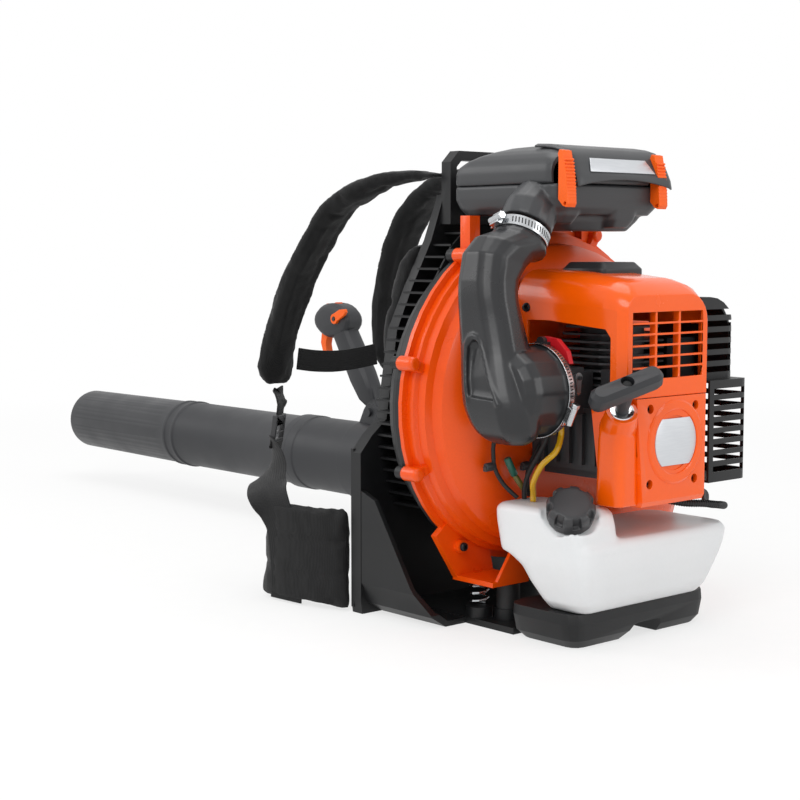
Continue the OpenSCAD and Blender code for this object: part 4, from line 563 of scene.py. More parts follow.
# ---------------------------------------------------------------- tank
# Blow-moulded polyethylene, milky and a little see-through: a low body under the starter and a
# tower at the left, all corners round, with a flat seat and a threaded neck for the cap.
milky = moulded("milky_polyethylene", "DADCDE", "E2E4E5", 0.34, 3.0, 0.01, 0.006,
                Subsurface_Weight=0.25, Subsurface_Radius=(0.01, 0.01, 0.01))
cap_base = Vector((-97, -160, 131))
cap_way = Vector((-0.44, -0.5, 0.745)).normalized()


def cap_ring(shift, radius):
    """A ring about the filler's axis, so far out from the tank's skin."""
    return round_ring(cap_base + cap_way * shift, -cap_way, radius)


tank = moulding("tank_shell", [
    [level_ring(-96, 82, -178, -126, 14, 36), level_ring(-106, 90, -185, -124, 16, 46),
     level_ring(-113, 100, -189, -112, 18, 64), level_ring(-117, 109, -191, -104, 20, 78),
     level_ring(-119, 114, -191, -90, 20, 87), level_ring(-119, 117, -190, -78, 20, 93),
     level_ring(-119, 119, -190, -76, 20, 100), level_ring(-114, 115, -185, -80, 18, 106)],
    [level_ring(-119, -48, -188, -80, 16, 90), level_ring(-120, -49, -184, -74, 16, 120),
     level_ring(-119, -50, -180, -73, 14, 132), level_ring(-114, -55, -174, -78, 12, 137)],
], 2.0, 12, cuts=[[cap_ring(-3, 28), cap_ring(50, 28)]],
    later=[[cap_ring(-22, 15), cap_ring(20, 15)]])
piece = place_piece("fuel_tank_shell", tank, milky, "root")
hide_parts("fuel_tank")
bm = bmesh.new()
skin_rings(bm, [cap_ring(-5, 17), cap_ring(10, 17), cap_ring(10, 14.6), cap_ring(-5, 14.6)])
place_piece("filler_neck", bm_mesh("filler_neck", bm, 32), milky, "root")

# the cap: a domed skirt with eight grip pockets scalloped out of its rim
cap = moulded("black_cap_nylon", "2B2B2D", "353537", 0.42, 1.0, 0.03)
cap_frame = cap_way.to_track_quat("Z", "Y").to_matrix()


def pocket_ring(turn, x, half, low):
    """A four-cornered ring square to the cap's radius, so many degrees round the cap."""
    spin = Matrix.Rotation(math.radians(turn), 3, "Z")
    return [cap_base + cap_frame @ spin @ Vector((x, y, h))
            for y, h in ((-half, low), (half, low), (half, 25), (-half, 25))]


pockets = [[pocket_ring(45 * i + 10, 19, 3.6, 7), pocket_ring(45 * i + 10, 30, 5.4, 5)]
           for i in range(8)]
cap_mesh = moulding("cap_outer", [[cap_ring(shift, radius) for shift, radius in (
    (-2.7, 22), (0, 23), (13, 24.4), (17, 23.6), (19.6, 21), (20.4, 17), (20.4, 8))]],
    0.8, 3, cuts=pockets)
piece = place_piece("cap_outer", cap_mesh, cap, "cap_shell")
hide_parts("cap_shell")
skin("cap_plug", cap)

# ---------------------------------------------------------------- pads and hip belt
# Closed-cell foam sewn into black ripstop nylon: cloth puffed up a little over the foam, with
# shallow creases where it bends round the wearer.
pad_voxels = {"shoulder_pad_left": 4.0, "shoulder_pad_right": 4.0, "back_pad": 5.0, "hip_belt": 4.0}


def frames(path, across):
    """For each point of a path its way along, across and out; across is carried from the start."""
    made = []
    across = Vector(across)
    for i in range(len(path)):
        along = (path[min(i + 1, len(path) - 1)] - path[max(i - 1, 0)]).normalized()
        across = (across - across.dot(along) * along).normalized()
        made.append((along, across.copy(), along.cross(across)))
    return made


def ripstop(name, dark, light, thread):
    """Coated ripstop nylon: a plain weave with a doubled thread every few millimetres."""
    made, tree, shader = finish(name, Roughness=0.62, IOR=1.5, Sheen_Weight=0.08,
                                Sheen_Roughness=0.4, Specular_IOR_Level=0.25)
    place = node(tree, "TexCoord").outputs["Object"]
    heights = [node(tree, "TexWave", {"bands_direction": axis, "Scale": 0.5 / (thread * mm),
                                      "Distortion": 0.6, "Detail": 1.0},
                    [("Vector", place)]).outputs["Fac"] for axis in "XYZ"]
    weave = node(tree, "Math", {"operation": "ADD"}, [(0, heights[0]), (1, heights[1])])
    weave = node(tree, "Math", {"operation": "ADD"}, [(0, weave.outputs[0]), (1, heights[2])])
    cloud = node(tree, "TexNoise", {"Scale": 22.0, "Detail": 4.0}, [("Vector", place)])
    mixed = node(tree, "MixRGB", {"Color1": linear(dark), "Color2": linear(light)},
                 [("Fac", cloud.outputs[0])])
    # thread height tints the cloth: painted shade in its low threads, painted highlight on the
    # raised ones
    shadow = node(tree, "MapRange", {"From Min": 0.6, "From Max": 2.4, "To Min": 0.8,
                                     "To Max": 1.12}, [("Value", weave.outputs[0])])
    toned = node(tree, "MixRGB", {"blend_type": "MULTIPLY", "Fac": 1.0},
                 [("Color1", mixed.outputs[0]), ("Color2", shadow.outputs[0])])
    bump = node(tree, "Bump", {"Strength": 0.6, "Distance": 0.25 * mm},
                [("Height", weave.outputs[0])])
    tree.links.new(toned.outputs[0], shader.inputs["Base Color"])
    tree.links.new(bump.outputs[0], shader.inputs["Normal"])
    return made


cloth = ripstop("coated_ripstop_nylon", "0A0A0B", "121213", 1.6)
swell_frames = 20
most_swell = 4.0 * mm


def settle(piece):
    """Gives a piece the mesh that its modifiers make."""
    old = piece.data
    piece.data = baked(piece)
    piece.data.name = piece.name
    bpy.data.meshes.remove(old)


foams = {}
for name, voxel in pad_voxels.items():
    foams[name] = place_piece(name + "_foam", bm_mesh(name + "_foam", merged(name)), cloth, "root")
    fused(foams[name], voxel)
    settle(foams[name])
flat = {name: [v.co.copy() for v in foam.data.vertices] for name, foam in foams.items()}
for foam in foams.values():
    swell = foam.modifiers.new("swell", "CLOTH")
    swell.settings.use_pressure = True
    swell.settings.uniform_pressure_force = 4.0
    swell.settings.effector_weights.gravity = 0.0
    swell.settings.quality = 5
    swell.point_cache.frame_end = swell_frames
for step in range(1, swell_frames + 1):
    scene.frame_set(step)
for foam in foams.values():
    settle(foam)
scene.frame_set(1)
for name, foam in foams.items():
    for vertex, start in zip(foam.data.vertices, flat[name]):
        moved = vertex.co - start
        if moved.length > most_swell:
            vertex.co = start + moved * (most_swell / moved.length)
    normals = [v.normal.copy() for v in foam.data.vertices]
    for vertex, out in zip(foam.data.vertices, normals):
        crease = noise.noise(vertex.co * 48) + 0.6 * noise.noise(vertex.co * Vector((110, 110, 60)))
        vertex.co += out * min(0.4, crease) * 1.3 * mm
    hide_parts(name)
    foam.data.shade_smooth()


# ---------------------------------------------------------------- webbing and buckles
# Woven polyester webbing, 2.4 mm thick: lengthwise ribs crossed by fine picks, with stitched
# ends. The ladder-lock buckles are moulded acetal.


def even(path, step):
    """The same path with points about step metres apart."""
    spans = [(b - a).length for a, b in zip(path, path[1:])]
    count = max(int(round(sum(spans) / step)), 2)
    made, span, done = [path[0]], 0, 0.0
    for k in range(1, count):
        want = sum(spans) * k / count
        while done + spans[span] < want:
            done += spans[span]
            span += 1
        made.append(path[span].lerp(path[span + 1], (want - done) / spans[span]))
    return made + [path[-1]]


def section_matrix(point, way, width, depth):
    """Places a unit section at a point of a path, width across and depth outwards."""
    along, across, out = way
    turn = Matrix((across, out, along)).transposed().to_4x4()
    return Matrix.Translation(point) @ turn @ Matrix.Diagonal((width, depth, 1, 1))


def swept(path, ways, width, depth, corners=8, square=0.0):
    """A closed bar carried along a path by extruding its end; UV is across and along, in metres.
    width and depth take the index of a point. square pushes the round section to a flat one."""
    bm = bmesh.new()
    uv = bm.loops.layers.uv.new("UVMap")
    across_of = bm.verts.layers.float.new("across")
    along_of = bm.verts.layers.float.new("along")
    ring = bmesh.ops.create_circle(bm, cap_ends=True, segments=corners, radius=0.5)["verts"]
    for vert in ring:
        x, y = vert.co.x * 2, vert.co.y * 2
        if square:
            x = math.copysign(abs(x) ** (1 - square), x)
            y = math.copysign(abs(y) ** (1 - square), y)
        vert.co.x, vert.co.y = x / 2, y / 2
    tip = bm.faces[:]
    sides = [vert.co.x for vert in ring]
    for vert, side in zip(ring, sides):
        vert[across_of] = side * width(0)
    last = section_matrix(path[0], ways[0], width(0), depth(0))
    bmesh.ops.transform(bm, matrix=last, verts=ring)
    length = 0.0
    for i in range(1, len(path)):
        length += (path[i] - path[i - 1]).length
        made = bmesh.ops.extrude_face_region(bm, geom=tip)["geom"]
        if i > 1:
            bmesh.ops.delete(bm, geom=tip, context="FACES_ONLY")
        ring = [g for g in made if isinstance(g, bmesh.types.BMVert)]
        tip = [g for g in made if isinstance(g, bmesh.types.BMFace)]
        new = section_matrix(path[i], ways[i], width(i), depth(i))
        grown = width(i) / width(i - 1)
        bmesh.ops.transform(bm, matrix=new @ last.inverted(), verts=ring)
        for vert in ring:
            vert[along_of] = length
            vert[across_of] *= grown
        last = new
    for face in bm.faces:
        for loop in face.loops:
            loop[uv].uv = (loop.vert[across_of], loop.vert[along_of])
    bmesh.ops.recalc_face_normals(bm, faces=bm.faces)
    return bm


def woven(name, dark, light, rib, pick):
    """Webbing: ribs every rib mm across it and picks every pick mm along it, on its UV map."""
    made, tree, shader = finish(name, Roughness=0.6, IOR=1.5, Sheen_Weight=0.08,
                                Sheen_Roughness=0.35, Specular_IOR_Level=0.25)
    place = node(tree, "TexCoord").outputs["UV"]
    parts = node(tree, "SeparateXYZ", links=[("Vector", place)])
    waves = []
    for socket, pitch in (("X", rib), ("Y", pick)):
        turn = node(tree, "Math", {"operation": "MULTIPLY", 1: 2 * math.pi / (pitch * mm)},
                    [(0, parts.outputs[socket])])
        waves.append(node(tree, "Math", {"operation": "SINE"}, [(0, turn.outputs[0])]))
    cross = node(tree, "Math", {"operation": "MULTIPLY"},
                 [(0, waves[0].outputs[0]), (1, waves[1].outputs[0])])
    ribs = node(tree, "Math", {"operation": "MULTIPLY_ADD", 1: 0.6},
                [(0, waves[0].outputs[0]), (2, cross.outputs[0])])
    # rib height tints the webbing: painted shade between its ribs, painted highlight on their
    # crowns
    shadow = node(tree, "MapRange", {"From Min": -1.4, "From Max": 1.4, "To Min": 0.72,
                                     "To Max": 1.25}, [("Value", ribs.outputs[0])])
    fuzz = node(tree, "TexNoise", {"Scale": 60.0, "Detail": 4.0},
                [("Vector", node(tree, "TexCoord").outputs["Object"])])
    mixed = node(tree, "MixRGB", {"Color1": linear(dark), "Color2": linear(light)},
                 [("Fac", fuzz.outputs[0])])
    toned = node(tree, "MixRGB", {"blend_type": "MULTIPLY", "Fac": 1.0},
                 [("Color1", mixed.outputs[0]), ("Color2", shadow.outputs[0])])
    bump = node(tree, "Bump", {"Strength": 0.6, "Distance": 0.25 * mm},
                [("Height", ribs.outputs[0])])
    tree.links.new(toned.outputs[0], shader.inputs["Base Color"])
    tree.links.new(bump.outputs[0], shader.inputs["Normal"])
    return made


webbing = woven("woven_polyester_webbing", "0C0C0D", "151516", 3.0, 2.2)
web_thickness = 2.4


def strap(name, points, width, start, end):
    """A length of webbing whose width turns from start to end over the first half of the path."""
    path = even(smooth_curve([Vector(p) * mm for p in points], 4), 5 * mm)
    ways = []
    for i in range(len(path)):
        along = (path[min(i + 1, len(path) - 1)] - path[max(i - 1, 0)]).normalized()
        k = min(2 * i / (len(path) - 1), 1)
        across = Vector(start).lerp(Vector(end), k)
        across = (across - across.dot(along) * along).normalized()
        ways.append((along, across, along.cross(across)))
    bm = swept(path, ways, lambda i: width * mm, lambda i: web_thickness * mm, 16, 0.72)
    return place_piece(name, bm_mesh(name, bm, 50), webbing, "root")


web_left = Vector((0.82, 0.57, 0)).normalized()
web_right = Vector((1, 0.14, 0)).normalized()
belt_left_way = Vector((-4, 35, 0)).normalized()
belt_right_way = Vector((-10, 30, 0)).normalized()
for name, width, start, end, points in (
    ("strap_upper_left", 22, web_left, web_left, [
        (-90, 311, 223.6), (-90, 311, 220.6), (-90.5, 310.5, 217), (-99, 298, 211),
        (-101.9, 293, 204), (-102.3, 293.6, 199.5), (-102.7, 294.1, 194.35)]),
    ("strap_lower_left", 48, web_left, belt_left_way, [
        (-105.35, 297.95, 161), (-105.7, 298.5, 157), (-106.2, 299.2, 152), (-118, 287, 145),
        (-140, 264, 134), (-163, 240, 124), (-175.5, 217, 115), (-178.3, 202, 100),
        (-176.8, 192, 78), (-176, 187.3, 40), (-176, 187.3, 2.5)]),
    ("strap_upper_right", 22, web_right, web_right, [
        (90, 307.8, 235.2), (90, 304, 222), (91.2, 297, 212), (91.5, 296.5, 204),
        (91.45, 297, 199.5), (91.32, 297.68, 194.35)]),
    ("strap_lower_right", 33.6, web_right, belt_right_way, [
        (90.65, 302.4, 161), (90.6, 303, 157), (90.3, 303.6, 152), (90.5, 280, 141),
        (93, 246, 126), (99.5, 214, 112), (103, 196, 80), (104, 192, 40), (104, 192, 3)]),
    ("chest_webbing", 26, (0, 0, 1), (0, 0, 1), [
        (-61.7, 312, 256), (-34, 315, 252), (0, 317, 250), (34, 318, 252), (61.7, 315, 256)]),
):
    strap(name, points, width, start, end)
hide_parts("strap_webbing")
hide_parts("chest_strap")
eased("strap_buckles", 0.8, cap, "root")

# ---------------------------------------------------------------- bellows, conduit and fuel lines
# The bellows are moulded rubber and the conduit is convoluted nylon. The
# fuel feed is yellow see-through PVC on two barbs, and the return line black rubber.
hose_rubber = moulded("moulded_hose_rubber", "1A1B1C", "232426", 0.44, 1.4, 0.03)
tube_x, tube_z = 178.0, 98.0


def bellows(name, y0, y1, node_name):
    """A convoluted hose with rounded folds, turned about the tube's axis."""
    folds, outer, depth, inner, sides = 8, 50.0, 5.0, 42.5, 72
    profile = []
    for t in (k / (folds * 8) for k in range(folds * 8 + 1)):
        wave = 0.5 - 0.5 * math.cos(2 * math.pi * folds * t)
        profile.append((outer - depth + depth * wave ** 0.7, y0 + (y1 - y0) * t))
    profile += [(inner, y1), (inner, y0)]
    bm = bmesh.new()
    verts = [bm.verts.new(((tube_x + r) * mm, y * mm, tube_z * mm)) for r, y in profile]
    edges = [bm.edges.new((a, b)) for a, b in zip(verts, verts[1:] + verts[:1])]
    bmesh.ops.spin(bm, geom=verts + edges, cent=(tube_x * mm, 0, tube_z * mm), axis=(0, 1, 0),
                   angle=2 * math.pi, steps=sides, use_merge=True)
    bmesh.ops.remove_doubles(bm, verts=bm.verts, dist=0.005 * mm)
    bmesh.ops.recalc_face_normals(bm, faces=bm.faces)
    piece = bpy.data.objects.new(name, bm_mesh(name, bm, 60))
    scene.collection.objects.link(piece)
    piece.data.materials.append(hose_rubber)
    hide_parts(node_name)
    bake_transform(piece)


bellows("rear_bellows", 130.3, 211.7, "bellows_rear")
bellows("front_bellows", 220.3, 301.7, "bellows_front")

loom = moulded("convoluted_loom_nylon", "141416", "1B1B1D", 0.42, 0.9, 0.02)


def hose(name, points, radius, material, step, ribs=None, across=(1, 0, 0), body=None):
    """A hose along given points; ribs are (pitch, depth) in mm of a convoluted one. It rides
    on a body, or on none."""
    path = even(smooth_curve([Vector(p) * mm for p in points], 8), step * mm)
    ways = frames(path, across)
    pitch, sink = ribs or (2 * step, 0)
    per = max(int(round(pitch / step)), 2)

    def size(i):
        """The hose's width at a point of its path."""
        return 2 * mm * (radius - (sink if (i % per) < per / 2 else 0))

    piece = bpy.data.objects.new(name, bm_mesh(name, swept(path, ways, size, size, 14), 50))
    scene.collection.objects.link(piece)
    piece.data.materials.append(material)
    if body:
        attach(piece, body)
    return piece


for name, conduit, bodies, start, end, points in (
    ("rear_loom", "conduit_rear", ("root", "ring"), (0.24, 0.090, 0.112), (0.238, 0.2097, 0.112), [
        (30, -140, 159.7), (31, -141, 152), (42, -150, 135), (62, -167, 128), (86, -179, 126),
        (110, -182, 122), (132, -164, 118), (150, -130, 114), (224, -66, 112), (242, 0, 112),
        (241, 80, 111), (238, 160, 112), (238, 209.7, 112)]),
    ("front_loom", "conduit_front", ("ring", "tube"), (0.238, 0.2226, 0.112),
     (0.201, 0.400, 0.1505), [
        (238, 222.6, 112), (239, 250, 115), (238, 310, 121), (233, 360, 128), (221, 390, 140),
        (201, 415, 150.5), (201, 426, 150.5)]),
):
    piece = hose(name, points, 4.0, loom, 1.3, (2.6, 0.7), across=(0, 0, 1))
    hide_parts(conduit)
    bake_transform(piece)

feed, tree, shader = finish("yellow_fuel_hose", Base_Color=linear("D9A90C"), Roughness=0.25,
                            IOR=1.45, Subsurface_Weight=0.3, Coat_Weight=0.3,
                            Subsurface_Radius=(0.004, 0.003, 0.001))
cloud = node(tree, "TexNoise", {"Scale": 40.0, "Detail": 3.0},
             [("Vector", node(tree, "TexCoord").outputs["Object"])])
amber = node(tree, "MixRGB", {"Color1": linear("C9950A"), "Color2": linear("E0B418")},
             [("Fac", cloud.outputs[0])])
tree.links.new(amber.outputs[0], shader.inputs["Base Color"])
feed_line = hose("feed_line", [
    (-82, -133, 213.7), (-82, -133, 204), (-90, -134, 190), (-97, -122, 176), (-96, -110, 158),
    (-90, -104, 146), (-90, -104, 137.3)], 3.0, feed, 2.0, body="root")
hose("return_line", [
    (-82, -115, 213.7), (-82, -115, 202), (-82, -104, 184), (-84, -92, 164), (-84, -86, 148),
    (-84, -86, 137.3)], 2.5, rubber, 2.0, body="root")
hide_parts("fuel_lines")

# ---------------------------------------------------------------- screws and plates
# Black oxide six-lobe screws in the fan housing and the covers, zinc ones in the frame's rail, and
# two bare plates of brushed aluminium, one let into the starter cover and one on the visor.


def facing(point, out, turn=0.0):
    """A frame at a millimetre point whose Z is the way out."""
    return (Matrix.Translation(Vector(point) * mm)
            @ Vector(out).normalized().to_track_quat("Z", "Y").to_matrix().to_4x4()
            @ Matrix.Rotation(turn, 4, "Z"))


def lathe(bm, rings, matrix, corners=24):
    """Rings of (radius, height, lobe depth) bridged in turn, closed at both ends and placed."""
    loops = []
    for radius, height, lobe in rings:
        ring = bmesh.ops.create_circle(bm, segments=corners, radius=radius * mm)["verts"]
        for vert in ring:
            vert.co *= 1 + lobe * math.cos(6 * math.atan2(vert.co.y, vert.co.x))
            vert.co.z = height * mm
        loops.append(ring)
    bridged(bm, loops)
    bmesh.ops.transform(bm, matrix=matrix, verts=[v for ring in loops for v in ring])


def volute_point(angle, inset):
    """The fan housing's outline at an angle from straight below the axis, in mm."""
    radius = 150 + 0.285 * angle - inset
    return (-radius * math.sin(math.radians(angle)), 210 - radius * math.cos(math.radians(angle)))


six_lobe = [(4.5, -0.05, 0), (4.5, 2.4, 0), (4.1, 3.3, 0), (3.1, 3.9, 0), (2.2, 4.0, 0.13),
            (2.1, 1.6, 0.13)]


def screws(name, places, material, scale=1.0):
    """Six-lobe screws at (point, way out) places, as one piece; scale is that of their heads."""
    bm = bmesh.new()
    rings = [(radius * scale, height, lobe) for radius, height, lobe in six_lobe]
    for i, (point, out) in enumerate(places):
        lathe(bm, rings, facing(point, out, 0.7 * i))
    return place_piece(name, bm_mesh(name, bm, 40), material, "root")


foot_x, foot_z = volute_point(38, -3)
foot_screw = screws("housing_screws", [((foot_x, -15, foot_z), (0, -1, 0))], blacksteel)
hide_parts("casing_screws")
screws("starter_screws", [((x, -197, z), (0, -1, 0)) for x in (-34, 34) for z in (160, 233)],
       blacksteel, 0.9)
screws("rail_screws", [((-134.7, 86, 115), (0, -1, 0)), ((-140, 86, 18), (0, -1, 0))], metal)
screws("cover_screws", [((-74, -78, 328), (-1, -0.4, 0.2))], blacksteel)


def brushed(name, dark, light, roughness, along):
    """Brushed metal: fine lines along one axis, about a millimetre apart where they show."""
    made, tree, shader = finish(name, Metallic=1.0, Roughness=roughness)
    place = node(tree, "TexCoord").outputs["Object"]
    scale = {"X": (60, 1100, 1100), "Z": (1100, 1100, 60)}[along]
    turned_place = node(tree, "Mapping", {"Scale": scale}, [("Vector", place)])
    lines = node(tree, "TexNoise", {"Scale": 1.0, "Detail": 3.0},
                 [("Vector", turned_place.outputs[0])])
    mixed = node(tree, "MixRGB", {"Color1": linear(dark), "Color2": linear(light)},
                 [("Fac", lines.outputs[0])])
    rough = node(tree, "MapRange", {"To Min": roughness - 0.08, "To Max": roughness + 0.1},
                 [("Value", lines.outputs[0])])
    bump = node(tree, "Bump", {"Strength": 0.4, "Distance": 0.02 * mm},
                [("Height", lines.outputs[0])])
    for socket, source in (("Base Color", mixed), ("Roughness", rough), ("Normal", bump)):
        tree.links.new(source.outputs[0], shader.inputs[socket])
    return made


plate_metal = brushed("brushed_aluminium_plate", "C8CBCF", "DADCDF", 0.34, "X")


def plate(name, outline, thickness, matrix, body):
    """A flat plate from an outline in mm, eased on its front edge."""
    bm = bmesh.new()
    face = bm.faces.new([bm.verts.new((x * mm, y * mm, 0)) for x, y in outline])
    made = bmesh.ops.extrude_face_region(bm, geom=[face])["geom"]
    top = [g for g in made if isinstance(g, bmesh.types.BMVert)]
    bmesh.ops.translate(bm, verts=top, vec=(0, 0, thickness * mm))
    edges = [e for e in bm.edges if all(v in top for v in e.verts)]
    bmesh.ops.bevel(bm, geom=edges, offset=0.35 * mm, segments=2, affect="EDGES", profile=0.5,
                    material=-1)
    bmesh.ops.recalc_face_normals(bm, faces=bm.faces)
    bmesh.ops.transform(bm, matrix=matrix, verts=bm.verts)
    return place_piece(name, bm_mesh(name, bm, 35), plate_metal, body)


plate_middle = Vector((4, -204.8, 199))
outline = [(31 * math.cos(math.radians(a)), max(-23, min(23, 31 * math.sin(math.radians(a)))))
           for a in range(0, 360, 6)]
plate("starter_plate", outline, 0.9, facing(plate_middle, (0, -1, 0)), "root")
# the visor's plain front slopes from y -127.6, z 462.5 up to y -120, z 477
plate("filter_plate", [(-49, -7.6), (48, -7.6), (40, 7.8), (-43, 7.8)], 1.0,
      facing((10, -125.3, 468), (0, -14.5, 7.6)), "filter_cover")

# ---------------------------------------------------------------- housing bosses
# The fan housing's bosses are cast tubes with domed fronts, each tied to the bowl by a lug, and
# powder coated with it. Each stands on the rim, so many degrees round from straight below.
bosses = []
for angle in (74, 110, 150, 206, 232, 256):
    x, z = volute_point(angle, -3)
    tip_x, tip_z = volute_point(angle, 22)
    root = Vector((x, 0, z))
    way = Vector((tip_x - x, 0, tip_z - z)).normalized()
    side = way.cross(Vector((0, 1, 0)))
    bosses.append([[root + Vector((0, y, 0)) + r * (way * math.cos(a) + side * math.sin(a))
                    for a in (math.radians(18 * k) for k in range(20))]
                   for y, r in ((-0.6, 7.6), (-20, 7.4), (-22.4, 6.4), (-23.6, 4.4))])
    bosses.append([[root + Vector((0, y, 0)) + way * reach + side * s
                    for s, y in ((-w, back), (w, back), (w, front), (-w, front))]
                   for reach, w, back, front in ((0, 5.5, -2, -21), (14, 5, -6, -20),
                                                 (22, 4, -12, -17))])
place_piece("boss_caps", moulding("boss_caps", bosses, 1.0, 3), coated, "root")

# ---------------------------------------------------------------- duct clamps
# Worm-drive hose clamps: a stainless band, a pressed housing and a hex-head screw that
# draws the band tight round the duct's collar and its cuff. The band's slots are not cut: they are
# dark strips laid on it, painted shade.
band_metal = brushed("stainless_band", "AEB1B4", "CACCCE", 0.24, "X")


def spun(bm, profile, matrix, steps=64):
    """A closed (radius, height) profile in mm spun about the matrix's Z."""
    verts = bmesh.ops.create_circle(bm, segments=len(profile), radius=mm)["verts"]
    for vert, (radius, height) in zip(verts, profile):
        vert.co = (radius * mm, 0, height * mm)
    edges = list({e for v in verts for e in v.link_edges})
    before = set(bm.verts) - set(verts)
    bmesh.ops.spin(bm, geom=verts + edges, cent=(0, 0, 0), axis=(0, 0, 1), angle=2 * math.pi,
                   steps=steps, use_merge=True)
    made = [v for v in bm.verts if v not in before]
    bmesh.ops.remove_doubles(bm, verts=made, dist=0.001 * mm)
    made = [v for v in bm.verts if v not in before]
    bmesh.ops.transform(bm, matrix=matrix, verts=made)
    bmesh.ops.recalc_face_normals(bm, faces=bm.faces)


def brick(bm, matrix, size, centre=(0, 0, 0)):
    """A box of (x, y, z) mm about a point of a frame."""
    made = bmesh.ops.create_cube(bm, size=1.0)["verts"]
    for vert in made:
        vert.co = Vector(v * s * mm for v, s in zip(vert.co, size)) + Vector(centre) * mm
    bmesh.ops.transform(bm, matrix=matrix, verts=made)


def worm_clamp(name, matrix, radius, width, turn):
    """A band, its screw housing and hex-head screw, and dark strips on the band: painted shade for
    its slots.
    """
    matrix = matrix @ Matrix.Rotation(math.radians(turn), 4, "Z")
    bm = bmesh.new()
    spun(bm, [(radius, 0), (radius + 0.9, 0), (radius + 0.9, width), (radius, width)], matrix, 96)
    brick(bm, matrix, (5.5, 15, width + 1.6), (radius + 3.4, 0, width / 2))
    brick(bm, matrix, (1.2, 20, width + 0.6), (radius + 1.3, 2, width / 2))
    across = matrix @ Matrix.Translation(Vector((radius + 5.2, -12.5, width / 2)) * mm)
    across = across @ Matrix.Rotation(math.radians(-90), 4, "X")
    lathe(bm, [(3.4, 3.5, 0), (3.4, 22, 0)], across, corners=18)
    lathe(bm, [(4.2, -0.5, 0), (4.2, 3.4, 0)], across, corners=6)
    band = place_piece(name, bm_mesh(name, bm, 35), band_metal, "root")
    bevelled(band, 0.3)
    # dark strips set into the band's face: painted shade where the slots would be, not cut holes
    bm = bmesh.new()
    slots = int(2 * math.pi * radius / 3.2)
    for i in range(slots):
        angle = 2 * math.pi * i / slots
        if abs(math.remainder(angle, 2 * math.pi)) * radius < 14:
            continue  # the housing covers the band here
        place = matrix @ Matrix.Rotation(angle, 4, "Z") @ Matrix.Rotation(math.radians(14), 4, "X")
        brick(bm, place, (0.2, 1.2, width * 0.55), (radius + 0.87, 0, width / 2))
    name += "_slots"
    place_piece(name, bm_mesh(name, bm), slot_shade, "root")
    return band


neck_clamp = worm_clamp("neck_clamp", facing(neck_base + neck_way * 4, neck_way), neck_radius, 11,
                        118)
worm_clamp("cuff_clamp", facing(cuff_centre + Vector((-111, 0, 0)), (1, 0, 0)), 45.1, 7, 205)
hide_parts("duct_clamps")

# ---------------------------------------------------------------- starter ring, eye and rope
# The starter cover's raised ring round its plate and the bulge that holds the rope's eye are gloss
# nylon, the eye chromed steel. The braided rope pays out through it, knotted in the grip.
bm = bmesh.new()
spun(bm, [(31.4, -1), (31.7, 1.2), (33, 2.0), (39.5, 2.0), (41.4, 0.9), (42.4, -1)],
     facing(plate_middle + Vector((0, 0.2, 0)), (0, -1, 0)), 96)
place_piece("starter_ring", bm_mesh("starter_ring", bm, 30), gloss, "root")
eye_way = Vector((-0.42, -0.52, 0.745)).normalized()
eye = Vector((-70, -200, 232))
mesh = moulding("eye_boss", [
    [round_ring(eye + eye_way * h + Vector((k, k, 0)), -eye_way, r)
     for h, r, k in ((1.4, 13.5, 0), (-1, 15.6, 0), (-12, 17, 1.0), (-24, 19, 4.0),
                     (-36, 16, 9.0))],
    [level_ring(-72, -40, -200, -166, 8, 140), level_ring(-75, -44, -202.5, -170, 9, 205),
     level_ring(-76, -50, -203, -174, 9, 224)],
], 1.2, 6, cuts=[[round_ring(eye + eye_way * h, -eye_way, 11.6) for h in (-1.5, 12)]])
place_piece("eye_boss", mesh, gloss, "root")
chrome = brushed("bright_chrome", "D6D8DA", "E6E8EA", 0.12, "Z")
bm = bmesh.new()
spun(bm, [(4.4, 0), (5.2, 1.8), (8, 2.6), (11.4, 1.6), (12.2, -0.4), (4.4, -1)],
     facing(eye, eye_way) @ Matrix.Translation((0, 0, 1.6 * mm)), 48)
place_piece("rope_eye", bm_mesh("rope_eye", bm, 45), chrome, "root")

braid = moulded("braided_polyester_rope", "131314", "1D1D1F", 0.8, 1.2, 0.1)
rope = hose("starter_braid", [eye + eye_way * run for run in (-16, -12, -8, -4, 0, 12, 24, 36)],
            1.8, braid, 0.4)
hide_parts("starter_rope")
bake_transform(rope)
bm = bmesh.new()
lathe(bm, [(3.0, 35.3, 0), (4.4, 36.4, 0), (4.4, 39.2, 0), (3.0, 40.1, 0)], facing(eye, eye_way))
place_piece("rope_knot", bm_mesh("rope_knot", bm, 50), braid, "grip")

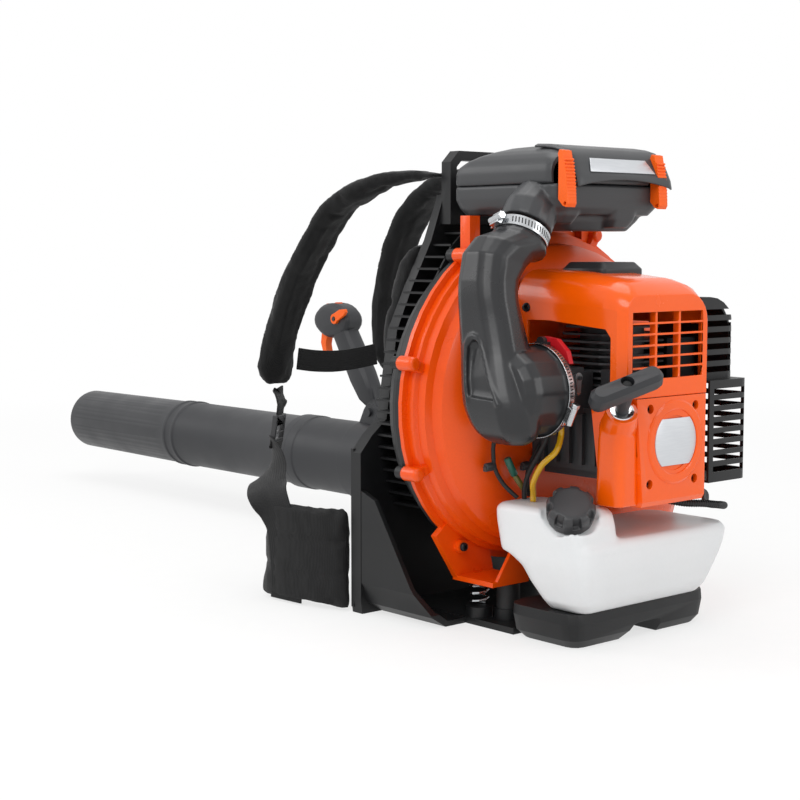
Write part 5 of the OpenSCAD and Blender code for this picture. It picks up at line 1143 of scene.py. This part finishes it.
# ---------------------------------------------------------------- cables and connector
# Two rubber-sheathed cables come down to the tank's tower in moulded clips, beside a green and
# clear connector on its short lead.
for name, points in (
    ("ignition_cable", [(-104, -84, 214), (-112, -72, 197), (-112, -70, 181), (-109, -70, 167),
                        (-101, -74, 152), (-92, -84, 139)]),
    ("ground_cable", [(-46, -78, 208), (-48, -74, 192), (-60, -72, 172), (-66, -72, 157),
                      (-72, -80, 139)]),
):
    hose(name, points, 2.2, rubber, 2.0, body="root")
bm = bmesh.new()
for place in ((-116, -68, 171), (-66, -70, 168)):
    matrix = facing(place, (1, -0.15, 0.1))
    lathe(bm, [(3.6, -4.5, 0), (3.9, -3.5, 0), (3.9, 3.5, 0), (3.6, 4.5, 0)], matrix, corners=20)
    brick(bm, matrix, (5, 5, 12), (0, -2, 0))
clips = place_piece("cable_clips", bm_mesh("cable_clips", bm, 40), cap, "root")
bevelled(clips, 0.5)
green = moulded("green_connector_nylon", "1C5B4C", "2A6F5E", 0.3, 1.0, 0.02)
clear = moulded("clear_connector_nylon", "5E5A24", "7C7836", 0.22, 1.0, 0.02)
for name, start, end, radius, material in (
    ("connector", (-95, -72, 178), (-86, -74, 160), 3.8, green),
    ("connector_tail", (-86, -74, 160), (-79, -80, 146), 3.0, clear),
):
    bm = bmesh.new()
    way = Vector(end) - Vector(start)
    lathe(bm, [(radius * 0.8, 0, 0), (radius, 1, 0), (radius, way.length - 1, 0),
               (radius * 0.8, way.length, 0)], facing(start, way), corners=20)
    place_piece(name, bm_mesh(name, bm, 40), material, "root")

# ---------------------------------------------------------------- muffler guard
# Black nylon guard over the hot muffler, moulded with level slots; the face of its upper panel is
# slotted like its side.
guard = eased("muffler_guard", 0.8, nylon, "root")
guard.modifiers.clear()
bm = bmesh.new()
for i in range(6):
    brick(bm, Matrix.Identity(4), (48, 12, 6), (90, -189, 265 + 11.5 * i))
tool = bpy.data.objects.new("slot_tool", bm_mesh("slot_tool", bm))
scene.collection.objects.link(tool)
cut_out(guard, tool)
guard.data = baked(guard)
guard.data.name = "muffler_guard_shell"
bpy.data.objects.remove(tool)
bevelled(guard, 0.8, moulded_corner)
shade(guard.data)
